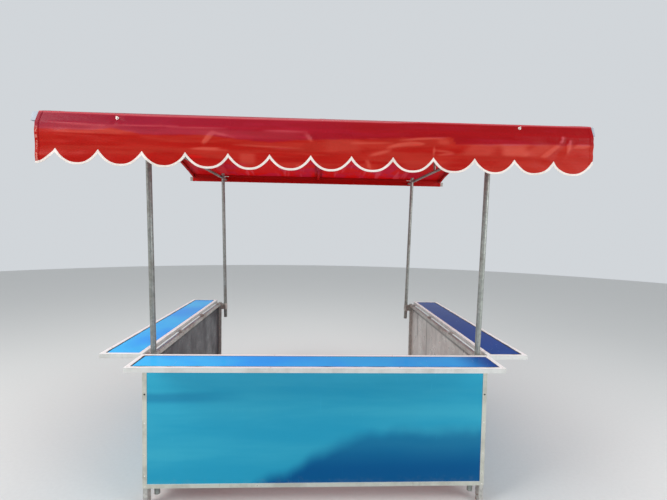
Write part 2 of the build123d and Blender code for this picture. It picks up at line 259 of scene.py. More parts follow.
def repeated(template: Template, origins: Array, axes: Array) -> Template:
    """Copies one shape to many places, as one set of corners and faces.

    Args:
        template: Corners and faces of the shape.
        origins: Where each copy stands.
        axes: The axes of each copy, as columns.

    Returns:
        Corners and faces of all the copies.
    """
    points, quads = template
    moved = np.einsum("nij,kj->nki", axes, points) + origins[:, None, :]
    shift = np.arange(len(origins))[:, None, None] * len(points)
    return moved.reshape(-1, 3), (quads[None, :, :] + shift).reshape(-1, 4)


def joined(templates: list[Template]) -> Template:
    """Puts several shapes together.

    Args:
        templates: The shapes.

    Returns:
        One set of corners and faces.
    """
    starts = np.cumsum([0] + [len(points) for points, _ in templates[:-1]])
    faces = [quads + start for (_, quads), start in zip(templates, starts)]
    return np.concatenate([points for points, _ in templates]), np.concatenate(faces)


def swept(path: Array, profile: Array, up: Array, closed: bool, scale: Array | None = None) -> Template:
    """Profile carried along a path: its first axis lies across the path, its second along up.

    Args:
        path: Points of the path.
        profile: Points of a closed profile, across and up.
        up: Direction of the profile's second axis, one for all points or one for each.
        closed: Whether the path joins its own start. An open one is drawn together at both ends.
        scale: Size of the profile at each point.

    Returns:
        Corners and faces of the solid.
    """
    if closed:
        ahead = np.roll(path, -1, axis=0) - np.roll(path, 1, axis=0)
    else:
        ahead = np.gradient(path, axis=0)
    axes = frames_on(up, ahead)
    size = np.ones(len(path)) if scale is None else scale
    if not closed:
        size = np.concatenate([[0.0], size, [0.0]])
        path = np.concatenate([path[:1], path, path[-1:]])
        axes = np.concatenate([axes[:1], axes, axes[-1:]])
    across = -axes[:, None, :, 1] * profile[None, :, :1] * size[:, None, None]
    upward = axes[:, None, :, 2] * profile[None, :, 1:] * size[:, None, None]
    points = path[:, None, :] + across + upward
    return points.reshape(-1, 3), grid_quads(len(path), len(profile), wrap_rows=closed, wrap_columns=True)


def ring(radius: float, sides: int) -> Array:
    """Points of a round profile."""
    angle = np.arange(sides) * FULL_TURN / sides
    return radius * packed(np.cos(angle), np.sin(angle))


def rounded(corners: Array, radius: float, steps: int = 6) -> Array:
    """Closed outline with an arc of one radius at each corner.

    With d1 and d2 the unit directions to the corners beside it, the arc's centre lies along d1 + d2 at radius over
    the sine of half the angle between them, and the arc turns from the first side to the second about that centre.

    Args:
        corners: Corners in turn, two numbers each.
        radius: Radius of the arcs.
        steps: Points of each arc.

    Returns:
        Points of the outline, in turn.
    """
    before = np.roll(corners, 1, axis=0) - corners
    after = np.roll(corners, -1, axis=0) - corners
    before /= np.linalg.norm(before, axis=1, keepdims=True)
    after /= np.linalg.norm(after, axis=1, keepdims=True)
    half = np.arccos(np.clip((before * after).sum(axis=1), -1.0, 1.0)) / 2
    middle = before + after
    middle /= np.linalg.norm(middle, axis=1, keepdims=True)
    centre = corners + middle * (radius / np.sin(half))[:, None]
    first = corners + before * (radius / np.tan(half))[:, None] - centre
    last = corners + after * (radius / np.tan(half))[:, None] - centre
    start = np.arctan2(first[:, 1], first[:, 0])
    turn = (np.arctan2(last[:, 1], last[:, 0]) - start + math.pi) % FULL_TURN - math.pi
    angle = start[:, None] + turn[:, None] * np.linspace(0.0, 1.0, steps)[None, :]
    arc = centre[:, None, :] + radius * packed(np.cos(angle), np.sin(angle))
    return arc.reshape(-1, 2)


def carried(runs: list[Place], start: Place, heading: float) -> "Section":
    """Line made of straight runs and arcs, each given by its length and how far it turns.

    Args:
        runs: Length and turn to the left of each run, in metres and radians.
        start: First point.
        heading: Direction at the start.

    Returns:
        The line as a table.
    """
    ends = np.cumsum([0.0] + [length for length, _ in runs])
    turns = heading + np.cumsum([0.0] + [turn for _, turn in runs])
    distance = np.linspace(0.0, ends[-1], SECTION_STEPS)
    middle = (distance[1:] + distance[:-1]) / 2
    steps = np.diff(distance)
    middle_heading = np.interp(middle, ends, turns)
    y = start[0] + np.concatenate([[0.0], np.cumsum(np.cos(middle_heading) * steps)])
    z = start[1] + np.concatenate([[0.0], np.cumsum(np.sin(middle_heading) * steps)])
    return Section(distance, y, z, np.interp(distance, ends, turns), ends)


@dataclass(frozen=True)
class Section:
    """Side view of a surface: place and heading by distance along it, and where each run ends."""

    distance: Array
    y: Array
    z: Array
    heading: Array
    ends: Array

    def at(self, distance: Array) -> tuple[Array, Array]:
        """Place on the line, and the direction to its left.

        Args:
            distance: Distances along the line.

        Returns:
            Places and unit normals, each with two numbers in the last axis.
        """
        place = [np.interp(distance, self.distance, values) for values in (self.y, self.z)]
        heading = np.interp(distance, self.distance, self.heading)
        return packed(*place), packed(-np.sin(heading), np.cos(heading))

    def length(self) -> float:
        """Length of the whole line."""
        return float(self.distance[-1])

    def rising(self, height: float | Array) -> Array:
        """Distance of a height on the part that rises from the start to the highest point."""
        part = slice(0, int(np.argmax(self.z)))
        return np.interp(height, self.z[part], self.distance[part])


def thicken(piece: Piece, thickness: float) -> None:
    """Gives an open sheet its thickness, on its inner side."""
    solid = piece.modifiers.new("thickness", "SOLIDIFY")
    solid.thickness, solid.offset = thickness, -1.0


# Finishes


class NodeSheet:
    """The node tree of one finish, with short calls for the nodes that the finishes share."""

    def __init__(self, name: str) -> None:
        """Starts a material with one Principled shader.

        Args:
            name: Name of the material.
        """
        self.material = bpy.data.materials.new(name)
        self.material.use_nodes = True
        self.tree = self.material.node_tree
        self.tree.nodes.clear()
        self.shader = self.add("BsdfPrincipled", {})
        self.output = self.add("OutputMaterial", {"Surface": self.shader.outputs["BSDF"]})
        coordinates = self.add("TexCoord", {})
        self.place, self.normal = coordinates.outputs["Object"], coordinates.outputs["Normal"]

    def feed(self, socket: Socket, value: object) -> None:
        """Links a socket to another, or sets it.

        Args:
            socket: The input.
            value: Its source or its value.
        """
        if isinstance(value, Socket):
            self.tree.links.new(value, socket)
        else:
            socket.default_value = value

    def add(self, kind: str, inputs: dict[str | int, object], **settings: object) -> bpy.types.Node:
        """Adds a node.

        Args:
            kind: Blender's name for the node type, less its common start.
            inputs: Value or source of each input, by its name or number.
            **settings: Other settings of the node.

        Returns:
            The new node.
        """
        node = self.tree.nodes.new(f"ShaderNode{kind}")
        for key, value in settings.items():
            setattr(node, key, value)
        for key, value in inputs.items():
            self.feed(node.inputs[key], value)
        return node

    def spread(self, scale: float | Place3, turn: float = 0.0) -> dict[str | int, object]:
        """Works out where a pattern lies.

        Args:
            scale: Blotches to a metre, in all directions or for each axis.
            turn: Turn about Z, for a scale with three axes.

        Returns:
            The inputs of the pattern's node.
        """
        if isinstance(scale, float):
            return {"Vector": self.place, "Scale": scale}
        inputs = {"Vector": self.place, "Scale": scale, "Rotation": (0.0, 0.0, turn)}
        return {"Vector": self.add("Mapping", inputs).outputs["Vector"], "Scale": 1.0}

    def noise(
        self, scale: float | Place3, detail: float = 3.0, rough: float = 0.55, warp: float = 0.0, turn: float = 0.0
    ) -> Socket:
        """Cloudy pattern of about 0.3 to 0.7, from blotches to a metre, finer layers, their weight, twist and turn."""
        inputs = self.spread(scale, turn) | {"Detail": detail, "Roughness": rough, "Distortion": warp}
        return self.add("TexNoise", inputs).outputs["Fac"]

    def cells(self, scale: float | Place3) -> Socket:
        """One value for each crystal of a broken-up surface."""
        colour = self.add("TexVoronoi", self.spread(scale)).outputs["Color"]
        return self.add("SeparateColor", {"Color": colour}).outputs["Red"]

    def level(self, value: object, low: float, high: float, first: float = 0.0, last: float = 1.0) -> Socket:
        """Value that eases from the first result, at low, to the last one, at high."""
        inputs = {"Value": value, "From Min": low, "From Max": high, "To Min": first, "To Max": last}
        return self.add("MapRange", inputs, interpolation_type="SMOOTHSTEP", clamp=True).outputs["Result"]

    def calc(self, operation: str, *values: object) -> Socket:
        """One sum with numbers or sockets."""
        return self.add("Math", dict(enumerate(values)), operation=operation).outputs["Value"]

    def blend(self, share: object, first: object, second: object) -> Socket:
        """Colour between two, by a share."""
        inputs = {"Factor": share, 6: first, 7: second}
        return self.add("Mix", inputs, data_type="RGBA").outputs[2]

    def times(self, first: object, second: object) -> Socket:
        """Product of two values."""
        return self.calc("MULTIPLY", first, second)

    def away(self, value: object, middle: float) -> Socket:
        """Distance of a value from a middle one."""
        return self.calc("ABSOLUTE", self.calc("SUBTRACT", value, middle))

    def over(
        self, colour: object, paint: object, by: object, low: float, high: float, most: float = 1.0, least: float = 0.0
    ) -> Socket:
        """Colour with a paint over it, whose share eases from its least at low to its most at high."""
        return self.blend(self.level(by, low, high, least, most), colour, paint)

    def grain(self, scale: float, detail: float, depth: float, under: object | None = None) -> Socket:
        """Bump from a noise over the whole piece: blotches to a metre, finer layers and depth in metres."""
        return self.relief(self.noise(scale, detail), depth, under)

    def mark(self, name: str) -> Socket:
        """Value that the mesh carries for each corner."""
        return self.add("Attribute", {}, attribute_name=name, attribute_type="GEOMETRY").outputs["Fac"]

    def axis(self, letter: str, vector: Socket | None = None) -> Socket:
        """One coordinate of a vector, or else of the place."""
        return self.add("SeparateXYZ", {"Vector": vector or self.place}).outputs[letter]

    def relief(self, height: object, depth: float, under: object | None = None) -> Socket:
        """Bump from a height of 0 to 1 that stands for this depth in metres, on top of the bump under it."""
        inputs = {"Height": height, "Distance": depth, "Strength": 1.0} | ({"Normal": under} if under else {})
        return self.add("Bump", inputs).outputs["Normal"]

    def scratches(self, *runs: Place) -> Socket:
        """Thin straight marks in two directions: the crests of noises that are each drawn out along one line.

        Args:
            *runs: Lines to a metre across, and their direction, for each of the two.

        Returns:
            1 on a mark and 0 beside it.
        """
        marks = []
        for density, turn in runs:
            line = self.noise((density, density / 22.0, density / 22.0), 2.0, 0.7, turn=turn)
            patch = self.noise((3.0, 3.0, 3.0), 1.0, turn=turn + 1.0)
            marks.append(self.times(self.level(line, 0.69, 0.74), self.level(patch, 0.48, 0.62)))
        return self.calc("MAXIMUM", *marks)

    def mixed_with(self, other: bpy.types.Node, share: object) -> None:
        """Puts a second shader beside the first one, with its share of the light."""
        both = self.add("MixShader", {0: share, 1: self.shader.outputs[0], 2: other.outputs[0]})
        self.tree.links.new(both.outputs[0], self.output.inputs["Surface"])

    def done(self, **sockets: object) -> None:
        """Fills the shader's sockets, named with underscores for their spaces."""
        for key, value in sockets.items():
            self.feed(self.shader.inputs[key.replace("_", " ")], value)


@dataclass(frozen=True)
class Finish:
    """One named finish. Each kind lays its own nodes, in metres of the object's own coordinates."""

    name: str

    def lay(self, sheet: NodeSheet) -> None:
        """Fills an empty sheet with the finish's nodes."""
        raise NotImplementedError

    def material(self) -> Material:
        """Builds the finish.

        Returns:
            Its material.
        """
        sheet = NodeSheet(self.name)
        self.lay(sheet)
        return sheet.material


@dataclass(frozen=True)
class SteelTube(Finish):
    """Zinc-coated steel tube: dull grey with a faint spangle, drawn streaks, grime, and rust where water stands."""

    name: str = "steel_tube"
    tone: Colour = linear(186, 184, 178)
    grime: Colour = linear(134, 126, 114)
    rust: Colour = linear(118, 66, 36)
    rust_top: float = 0.10

    def lay(self, sheet: NodeSheet) -> None:
        """Lays the finish's nodes.

        Args:
            sheet: The empty sheet.
        """
        spangle = sheet.cells(62.0)
        streaks = sheet.noise((85.0, 85.0, 5.0), 4.0)
        cloud = sheet.noise(4.5, 6.0, 0.62)
        colour = sheet.over(shaded(self.tone, 0.84), shaded(self.tone, 1.1), spangle, 0.1, 0.9)
        colour = sheet.over(colour, shaded(self.tone, 1.35), streaks, 0.5, 0.75, 0.35)
        colour = sheet.over(colour, self.grime, cloud, 0.5, 0.72, 0.6)
        low = sheet.level(sheet.axis("Z"), self.rust_top, 0.0, 0.0, 0.16)
        spots = sheet.noise(34.0, 8.0, 0.68)
        rusty = sheet.level(sheet.calc("ADD", spots, low), 0.66, 0.75)
        colour = sheet.blend(rusty, colour, self.rust)
        roughness = sheet.calc("ADD", sheet.level(cloud, 0.35, 0.7, 0.34, 0.55), sheet.level(rusty, 0.0, 1.0, 0.0, 0.3))
        bump = sheet.grain(260.0, 3.0, 0.00012)
        bump = sheet.relief(rusty, 0.0003, bump)
        metal = sheet.level(rusty, 0.0, 1.0, 0.5, 0.1)
        sheet.done(Base_Color=colour, Metallic=metal, Roughness=roughness, Normal=bump)


@dataclass(frozen=True)
class AluminiumAngle(Finish):
    """Bare aluminium section with extrusion lines, oxide clouds, smears and scratches, and painted light on its upward
    faces.
    """

    name: str = "aluminium_angle"
    tone: Colour = linear(218, 219, 216)
    oxide: Colour = linear(194, 194, 190)
    dirt: Colour = linear(140, 132, 118)
    # Near-white of the painted light on upward faces.
    pale_sheen: Colour = linear(252, 252, 250)
    bare: float = 0.6
    smooth: Place = (0.3, 0.5)

    def lay(self, sheet: NodeSheet) -> None:
        """Lays the finish's nodes.

        Args:
            sheet: The empty sheet.
        """
        clouds = sheet.noise(9.0, 5.0, 0.6)
        lines = sheet.noise((4.0, 4.0, 420.0), 3.0)
        smears = sheet.noise(2.6, 7.0, 0.72, 1.4)
        colour = sheet.over(self.tone, self.oxide, clouds, 0.42, 0.68, 0.75)
        colour = sheet.over(colour, shaded(self.oxide, 0.8), lines, 0.5, 0.72, 0.22)
        colour = sheet.over(colour, self.dirt, smears, 0.56, 0.75, 0.42)
        # Painted light: upward faces blend towards a near-white, as if lit from above.
        top = sheet.level(sheet.axis("Z", sheet.normal), 0.5, 0.9)
        colour = sheet.blend(sheet.times(top, 0.85), colour, self.pale_sheen)
        marks = sheet.scratches((150.0, 0.7), (120.0, 2.1))
        colour = sheet.blend(sheet.times(marks, 0.5), colour, shaded(self.dirt, 1.2))
        roughness = sheet.level(clouds, 0.35, 0.7, *self.smooth)
        bump = sheet.relief(lines, 0.00008)
        bump = sheet.relief(marks, -0.00025, bump)
        metal = sheet.level(top, 0.0, 1.0, self.bare, 0.08)
        sheet.done(Base_Color=colour, Metallic=metal, Roughness=roughness, Normal=bump)


@dataclass(frozen=True)
class PanelSheet(Finish):
    """Thin steel sheet: blue film on its outer face, and bare zinc, with its spangle and run marks, on the inner."""

    outward: Outward = Outward.FRONT
    zinc: Colour = linear(178, 175, 170)
    zinc_dark: Colour = linear(136, 133, 131)
    film: Colour = linear(40, 154, 188)
    film_pale: Colour = linear(57, 167, 195)
    # Deep blue of the painted reflection of shaded ground, also used for the strip on the left.
    film_deep: Colour = linear(0, 74, 132)
    dust: Colour = linear(150, 158, 150)
    joints: tuple[Place, ...] = ()

    def film_colour(self, sheet: NodeSheet) -> Socket:
        """Blue film, wiped in level bands, scuffed, dusty along the ground, and paler near the top as painted light.
        Deeper blue towards the foot at the lower right is a painted reflection of shaded ground. A darker level strip
        lies across the left part.

        Args:
            sheet: The tree that it is built in.

        Returns:
            The colour.
        """
        height = sheet.axis("Z")
        wiped = sheet.noise((0.8, 0.8, 6.0), 4.0, 0.5, 0.25)
        colour = sheet.over(self.film, self.film_pale, wiped, 0.36, 0.68)
        # Painted light: paler towards the top, under the board's overhang.
        colour = sheet.over(colour, shaded(self.film_pale, 1.2), height, 0.66, 0.87, 0.75)
        # Painted reflection of shaded ground: deeper blue below a line that rises to the right, stronger towards the
        # foot.
        top = sheet.level(sheet.axis("X"), -0.55, 0.40, 0.06, 0.47)
        uneven = sheet.calc("MULTIPLY_ADD", sheet.noise((2.2, 2.2, 1.4), 3.0), 0.24, height)
        under_reflection_edge = sheet.calc("SUBTRACT", uneven, top)
        low = sheet.level(height, 0.42, 0.20, 0.62, 0.92)
        colour = sheet.blend(sheet.times(sheet.level(under_reflection_edge, 0.17, 0.05), low), colour, self.film_deep)
        # Darker level strip in the deep blue across the left part.
        strip_height = sheet.calc("MULTIPLY_ADD", wiped, 0.06, height)
        strip = sheet.level(sheet.away(strip_height, 0.677), 0.045, 0.010)
        left = sheet.level(sheet.axis("X"), -0.35, -0.90, 0.0, 0.35)
        colour = sheet.blend(sheet.times(strip, left), colour, self.film_deep)
        scuffs = sheet.scratches((95.0, 0.5), (140.0, 1.9))
        colour = sheet.blend(sheet.times(scuffs, 0.25), colour, shaded(self.film_pale, 1.5))
        splash = sheet.calc("MULTIPLY_ADD", sheet.noise(22.0, 6.0, 0.7), 0.2, height)
        return sheet.over(colour, self.dust, splash, 0.27, 0.22, 0.07)

    def zinc_colour(self, sheet: NodeSheet) -> Socket:
        """Bare zinc: large crystals, upright run marks, dark joints between its strips and painted shade under the
        rail.

        Args:
            sheet: The tree that it is built in.

        Returns:
            The colour.
        """
        crystals = sheet.cells(24.0)
        runs = sheet.noise((6.0, 6.0, 0.7), 4.0, 0.55, 0.4)
        colour = sheet.over(self.zinc_dark, shaded(self.zinc, 1.2), crystals, 0.1, 0.9, 0.76, 0.5)
        colour = sheet.over(colour, self.zinc_dark, runs, 0.46, 0.66, 0.4)
        colour = sheet.over(colour, shaded(self.zinc, 1.3), runs, 0.46, 0.32, 0.25)
        # Painted shade: a darker band on the sheet just under the top rail.
        rail_shade = sheet.level(sheet.axis("Z"), 0.800, 0.810, 0.0, 0.75)
        colour = sheet.blend(rail_shade, colour, shaded(self.zinc_dark, 0.25))
        for along, foot in self.joints:
            away = sheet.away(sheet.axis("Y"), along)
            above = sheet.level(sheet.axis("Z"), foot, foot + 0.03)
            line = sheet.times(sheet.level(away, 0.013, 0.005, 0.0, 0.8), above)
            colour = sheet.blend(line, colour, shaded(self.zinc_dark, 0.25))
        return colour

    def lay(self, sheet: NodeSheet) -> None:
        """Lays the finish's nodes.

        Args:
            sheet: The empty sheet.
        """
        inputs = {0: sheet.normal, 1: (*self.outward.value, 0.0)}
        facing = sheet.add("VectorMath", inputs, operation="DOT_PRODUCT").outputs["Value"]
        outer = sheet.calc("GREATER_THAN", facing, 0.5)
        colour = sheet.blend(outer, self.zinc_colour(sheet), self.film_colour(sheet))
        smudges = sheet.noise(6.0, 6.0, 0.6)
        inner_shine = sheet.level(smudges, 0.35, 0.7, 0.26, 0.46)
        outer_shine = sheet.level(smudges, 0.35, 0.7, 0.10, 0.24)
        roughness = sheet.add("Mix", {0: outer, 2: inner_shine, 3: outer_shine}).outputs[0]
        metal = sheet.level(outer, 0.0, 1.0, 0.5, 0.35)
        bump = sheet.grain(2.4, 1.0, 0.006)
        bump = sheet.grain(140.0, 2.0, 0.00006, bump)
        sheet.done(Base_Color=colour, Metallic=metal, Roughness=roughness, Normal=bump, Specular_IOR_Level=0.12)


@dataclass(frozen=True)
class BoardFilm(Finish):
    """Glossy blue serving board, with fine scratches and dull wiped patches."""

    name: str = "board_film"
    tone: Colour = linear(52, 164, 255)
    pale: Colour = linear(64, 190, 255)
    # Deep and dark blue of the painted reflection towards the right end.
    deep: Colour = linear(6, 64, 172)
    dark: Colour = linear(0, 44, 136)

    def lay(self, sheet: NodeSheet) -> None:
        """Lays the finish's nodes.

        Args:
            sheet: The empty sheet.
        """
        broad = sheet.noise(1.3, 3.0, 0.5, 0.5)
        colour = sheet.over(self.tone, self.pale, broad, 0.4, 0.62)
        # Painted reflection: darker towards the right end, first deep and then dark blue, where shaded surroundings
        # would reflect.
        across = sheet.calc("MULTIPLY_ADD", broad, 0.25, sheet.axis("X"))
        colour = sheet.over(colour, self.deep, across, -0.7, 0.9, 0.35)
        colour = sheet.over(colour, self.dark, across, 0.88, 1.12, 0.92)
        marks = sheet.scratches((210.0, 0.25), (170.0, 1.3))
        colour = sheet.blend(sheet.times(marks, 0.35), colour, linear(150, 190, 240))
        wiped = sheet.noise((7.0, 2.5, 4.0), 5.0, 0.6, turn=0.4)
        roughness = sheet.calc("ADD", sheet.level(wiped, 0.4, 0.7, 0.05, 0.15), sheet.times(marks, 0.2))
        bump = sheet.grain(5.0, 2.0, 0.0009)
        bump = sheet.relief(marks, -0.0001, bump)
        sheet.done(Base_Color=colour, Roughness=roughness, Normal=bump, Specular_IOR_Level=0.012)


@dataclass(frozen=True)
class RedVinyl(Finish):
    """Coated red cloth with a fine weave and faint dust, crimson where it faces up as a painted reflection of the sky.

    The mesh carries five marks: the sky reflection share, from 0 on the hanging front to 1 on the roof, for the crimson
    painted reflection of the sky; doubled, where the cloth lies in more than one layer and lets less light through,
    also painted darker red there as painted shade; worn, above 0 for painted reflections on the creased front, for
    painted highlights along fold crests, which the folds also rub pale, and for a painted highlight along the top bend,
    and below
    0 for painted shade where it keeps its full red; the hem shade line, painted shade beside the left hem; and frayed,
    where the core shows along the left hem.
    """

    name: str = "red_vinyl"
    red: Colour = linear(180, 30, 22)
    orange: Colour = linear(188, 52, 40)
    # Crimson, ripe and plum: the roof's painted sky reflection, with painted shade in plum towards the left end.
    crimson: Colour = linear(166, 34, 58)
    ripe: Colour = linear(164, 20, 26)
    plum: Colour = linear(128, 30, 52)
    # Pale and pink: painted reflections and highlights on the creased front, also rubbed fold crests.
    pale: Colour = linear(216, 94, 78)
    pink: Colour = linear(208, 92, 100)
    # Full red: random facets, and the painted shade where worn is below 0.
    full: Colour = linear(154, 14, 8)
    # Underside: a brighter red as painted light shining through the cloth, and a pale pink for painted highlight
    # streaks.
    under: Colour = linear(248, 18, 20)
    under_crimson: Colour = linear(226, 42, 82)
    under_highlight: Colour = linear(255, 108, 128)
    # Darker red of doubled cloth: painted shade where less light comes through.
    doubled: Colour = linear(188, 18, 14)
    glow: Colour = linear(236, 34, 38)
    core: Colour = linear(232, 166, 150)
    # Dark red of the painted shade beside the left hem.
    soil: Colour = linear(104, 16, 22)
    half_width: float = 1.345

    def lay(self, sheet: NodeSheet) -> None:
        """Lays the finish's nodes.

        Args:
            sheet: The empty sheet.
        """
        cloud = sheet.noise(3.0, 5.0, 0.6, 0.8)
        bands = sheet.noise((1.9, 14.0, 24.0), 4.0, 0.55, 0.5)
        facets = sheet.cells((4.5, 3.0, 19.0))
        across = sheet.axis("X")
        hanging = sheet.calc("MULTIPLY_ADD", across, 0.07, bands)
        hanging = sheet.over(self.red, self.orange, hanging, 0.40, 0.62)
        # Roof: crimson painted reflection of the sky, strongest to the left, in random bands, and plum towards the left
        # end as painted shade.
        turning = sheet.calc("MULTIPLY_ADD", cloud, 0.9, across)
        roof = sheet.over(self.crimson, self.ripe, turning, -0.6, 1.2)
        roof = sheet.over(roof, shaded(self.crimson, 1.25), bands, 0.45, 0.68, 0.3)
        roof = sheet.over(roof, self.plum, across, -0.5, -1.3, 0.45)
        # The sky reflection share lays the roof's painted reflection over the hanging front's red.
        colour = sheet.blend(sheet.mark("sky_reflection"), hanging, roof)
        colour = sheet.over(colour, self.full, facets, 0.2, 1.0, 0.16)
        # Paler where worn is above 0: painted reflections and painted highlights, with rubbed fold crests; full red
        # below 0: painted shade.
        pale_sheen = sheet.blend(sheet.mark("sky_reflection"), self.pale, self.pink)
        colour = sheet.over(colour, pale_sheen, sheet.mark("worn"), 0.0, 1.0, 0.78)
        colour = sheet.over(colour, self.full, sheet.mark("worn"), 0.0, -1.0, 0.75)
        # Underside: painted light shining through, painted highlight streaks along the folds, and painted shade towards
        # the sides.
        below = sheet.level(sheet.axis("Z", sheet.normal), -0.15, -0.45)
        inside = sheet.over(self.under, self.under_crimson, cloud, 0.46, 0.56)
        folds = sheet.noise((13.0, 1.6, 1.6), 3.0, 0.5, turn=0.55)
        inside = sheet.over(inside, self.under_highlight, folds, 0.54, 0.66, 0.6)
        aside = sheet.calc("ABSOLUTE", across)
        inside = sheet.over(inside, shaded(self.under, 0.5), aside, 0.7, 1.15, 0.6)
        colour = sheet.blend(below, colour, inside)
        # Painted shade: darker red where the cloth is doubled and less light comes through.
        colour = sheet.blend(sheet.mark("doubled"), colour, self.doubled)
        dust = sheet.noise(11.0, 7.0, 0.7)
        colour = sheet.over(colour, linear(200, 104, 86), dust, 0.55, 0.75, 0.05)
        # Painted shade: a dark line beside the left hem.
        colour = sheet.blend(sheet.times(sheet.mark("hem_shade"), 0.45), colour, self.soil)
        edge = sheet.level(aside, self.half_width - 0.0012, self.half_width)
        frayed = sheet.level(sheet.noise(95.0, 2.0), 0.47, 0.55)
        edge = sheet.calc("MAXIMUM", edge, sheet.times(sheet.mark("frayed"), 0.7))
        colour = sheet.blend(sheet.times(edge, frayed), colour, self.core)
        roughness = sheet.calc("ADD", sheet.level(cloud, 0.35, 0.7, 0.24, 0.38), sheet.times(below, 0.25))
        weave = sheet.add("TexCoord", {}).outputs["UV"]
        threads = sheet.add("TexChecker", {"Vector": weave, "Scale": 640.0}).outputs["Fac"]
        bump = sheet.relief(threads, 0.000005)
        bump = sheet.relief(sheet.noise((7.0, 16.0, 22.0), 3.0, 0.5, 1.2), 0.0016, bump)
        sheet.done(Base_Color=colour, Roughness=roughness, Normal=bump, Specular_IOR_Level=0.09)
        glow = sheet.add("BsdfTranslucent", {"Color": self.glow, "Normal": bump})
        through = sheet.level(sheet.mark("doubled"), 0.0, 1.0, 0.34, 0.16)
        sheet.mixed_with(glow, through)


@dataclass(frozen=True)
class WhiteTape(Finish):
    """Woven binding: off-white, with a fine cross rib and stains in patches."""

    name: str = "white_tape"
    tone: Colour = linear(230, 221, 214)
    soil: Colour = linear(196, 178, 164)

    def lay(self, sheet: NodeSheet) -> None:
        """Lays the finish's nodes.

        Args:
            sheet: The empty sheet.
        """
        stains = sheet.noise(16.0, 6.0, 0.66)
        colour = sheet.over(self.tone, self.soil, stains, 0.50, 0.74, 0.35)
        ribs = {"Vector": sheet.place, "Scale": 210.0, "Distortion": 1.2}
        rib = sheet.add("TexWave", ribs, bands_direction="X").outputs["Fac"]
        colour = sheet.blend(sheet.times(rib, 0.14), colour, shaded(self.soil, 0.8))
        bump = sheet.relief(rib, 0.0002)
        bump = sheet.grain(300.0, 3.0, 0.00015, bump)
        roughness = sheet.level(stains, 0.4, 0.7, 0.6, 0.82)
        sheet.done(Base_Color=colour, Roughness=roughness, Normal=bump)


@dataclass(frozen=True)
class PlatedScrew(Finish):
    """Bright zinc plating of screws, bolts and nuts, dulled and browned in places."""

    name: str = "plated_screw"
    tone: Colour = linear(234, 232, 226)
    tarnish: Colour = linear(150, 130, 108)

    def lay(self, sheet: NodeSheet) -> None:
        """Lays the finish's nodes.

        Args:
            sheet: The empty sheet.
        """
        patches = sheet.noise(90.0, 5.0, 0.65)
        share = sheet.level(patches, 0.5, 0.7, 0.0, 0.7)
        colour = sheet.blend(share, self.tone, self.tarnish)
        roughness = sheet.level(patches, 0.35, 0.7, 0.22, 0.5)
        bump = sheet.grain(700.0, 2.0, 0.00006)
        sheet.done(Base_Color=colour, Metallic=0.6, Roughness=roughness, Normal=bump)


@dataclass(frozen=True)
class DarkSeal(Finish):
    """Black sealant, also painted shade in open holes and by the board lips: nearly black, uneven, with dust caught in
    it.
    """

    name: str = "dark_seal"
    tone: Colour = linear(20, 21, 26)
    dust: Colour = linear(58, 58, 60)

    def lay(self, sheet: NodeSheet) -> None:
        """Lays the finish's nodes.

        Args:
            sheet: The empty sheet.
        """
        caught = sheet.noise(60.0, 6.0, 0.7)
        colour = sheet.over(self.tone, self.dust, caught, 0.52, 0.74, 0.4)
        roughness = sheet.level(caught, 0.35, 0.7, 0.38, 0.7)
        bump = sheet.grain(150.0, 3.0, 0.0004)
        sheet.done(Base_Color=colour, Roughness=roughness, Normal=bump)


@dataclass(frozen=True)
class WeldBead(Finish):
    """Arc weld under cold zinc paint: grey, rippled, with brown heat and rust beside it."""

    name: str = "weld_bead"
    tone: Colour = linear(128, 126, 122)
    rust: Colour = linear(104, 66, 44)

    def lay(self, sheet: NodeSheet) -> None:
        """Lays the finish's nodes.

        Args:
            sheet: The empty sheet.
        """
        patches = sheet.noise(75.0, 6.0, 0.7)
        rusty = sheet.level(patches, 0.5, 0.66)
        colour = sheet.blend(rusty, self.tone, self.rust)
        bump = sheet.grain(420.0, 2.0, 0.0003)
        metal = sheet.level(rusty, 0.0, 1.0, 0.6, 0.1)
        sheet.done(Base_Color=colour, Metallic=metal, Roughness=0.55, Normal=bump)


def built(finish: Finish) -> Material:
    """Dataclass field that holds a finish's material, made when the finishes are."""
    return field(default_factory=finish.material)


@dataclass
class Finishes:
    """Every finish of the stall, built once."""

    steel: Material = built(SteelTube())
    # Painted shade: the left posts get a darker copy of the tube steel.
    left_post: Material = built(SteelTube("steel_left_post_shaded", linear(136, 139, 135), linear(104, 98, 88)))
    right_post: Material = built(SteelTube("steel_right_post", linear(152, 156, 150), linear(112, 106, 96)))
    # Painted shade: a darker brownish copy of the tube steel for the roof frame under the canopy.
    rail: Material = built(SteelTube("steel_rail_shaded", linear(140, 130, 122), linear(98, 82, 72)))
    aluminium: Material = built(AluminiumAngle())
    rail_end: Material = built(
        AluminiumAngle(
            "rail_angle", linear(158, 166, 176), linear(140, 147, 156), pale_sheen=linear(170, 179, 190), bare=0.15,
            smooth=(0.62, 0.78),
        )
    )
    panel_trim: Material = built(AluminiumAngle("panel_angle", linear(208, 208, 196), linear(182, 181, 170)))
    board: Material = built(BoardFilm())
    vinyl: Material = built(RedVinyl())
    tape: Material = built(WhiteTape())
    screw: Material = built(PlatedScrew())
    seal: Material = built(DarkSeal())
    weld: Material = built(WeldBead())


def dress(nodes: list[str], material: Material) -> None:
    """Gives CAD nodes their finish and leaves their shape alone.

    Args:
        nodes: Names of the nodes.
        material: Their finish.
    """
    for node in nodes:
        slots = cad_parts[node].data.materials
        if not slots:
            slots.append(material)
        for number in range(len(slots)):
            slots[number] = material
    LOG.info("dressed %d nodes with %s", len(nodes), material.name)


def add_piece(piece: Piece, material: Material) -> Piece:
    """Finishes a new piece, makes it ride on the stall and reports it.

    Args:
        piece: The new object, in its place.
        material: Its finish.

    Returns:
        The same object.
    """
    piece.data.materials.append(material)
    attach(piece, BODY)
    LOG.info("%s: %d faces", piece.name, len(piece.data.polygons))
    return piece


# Hardware


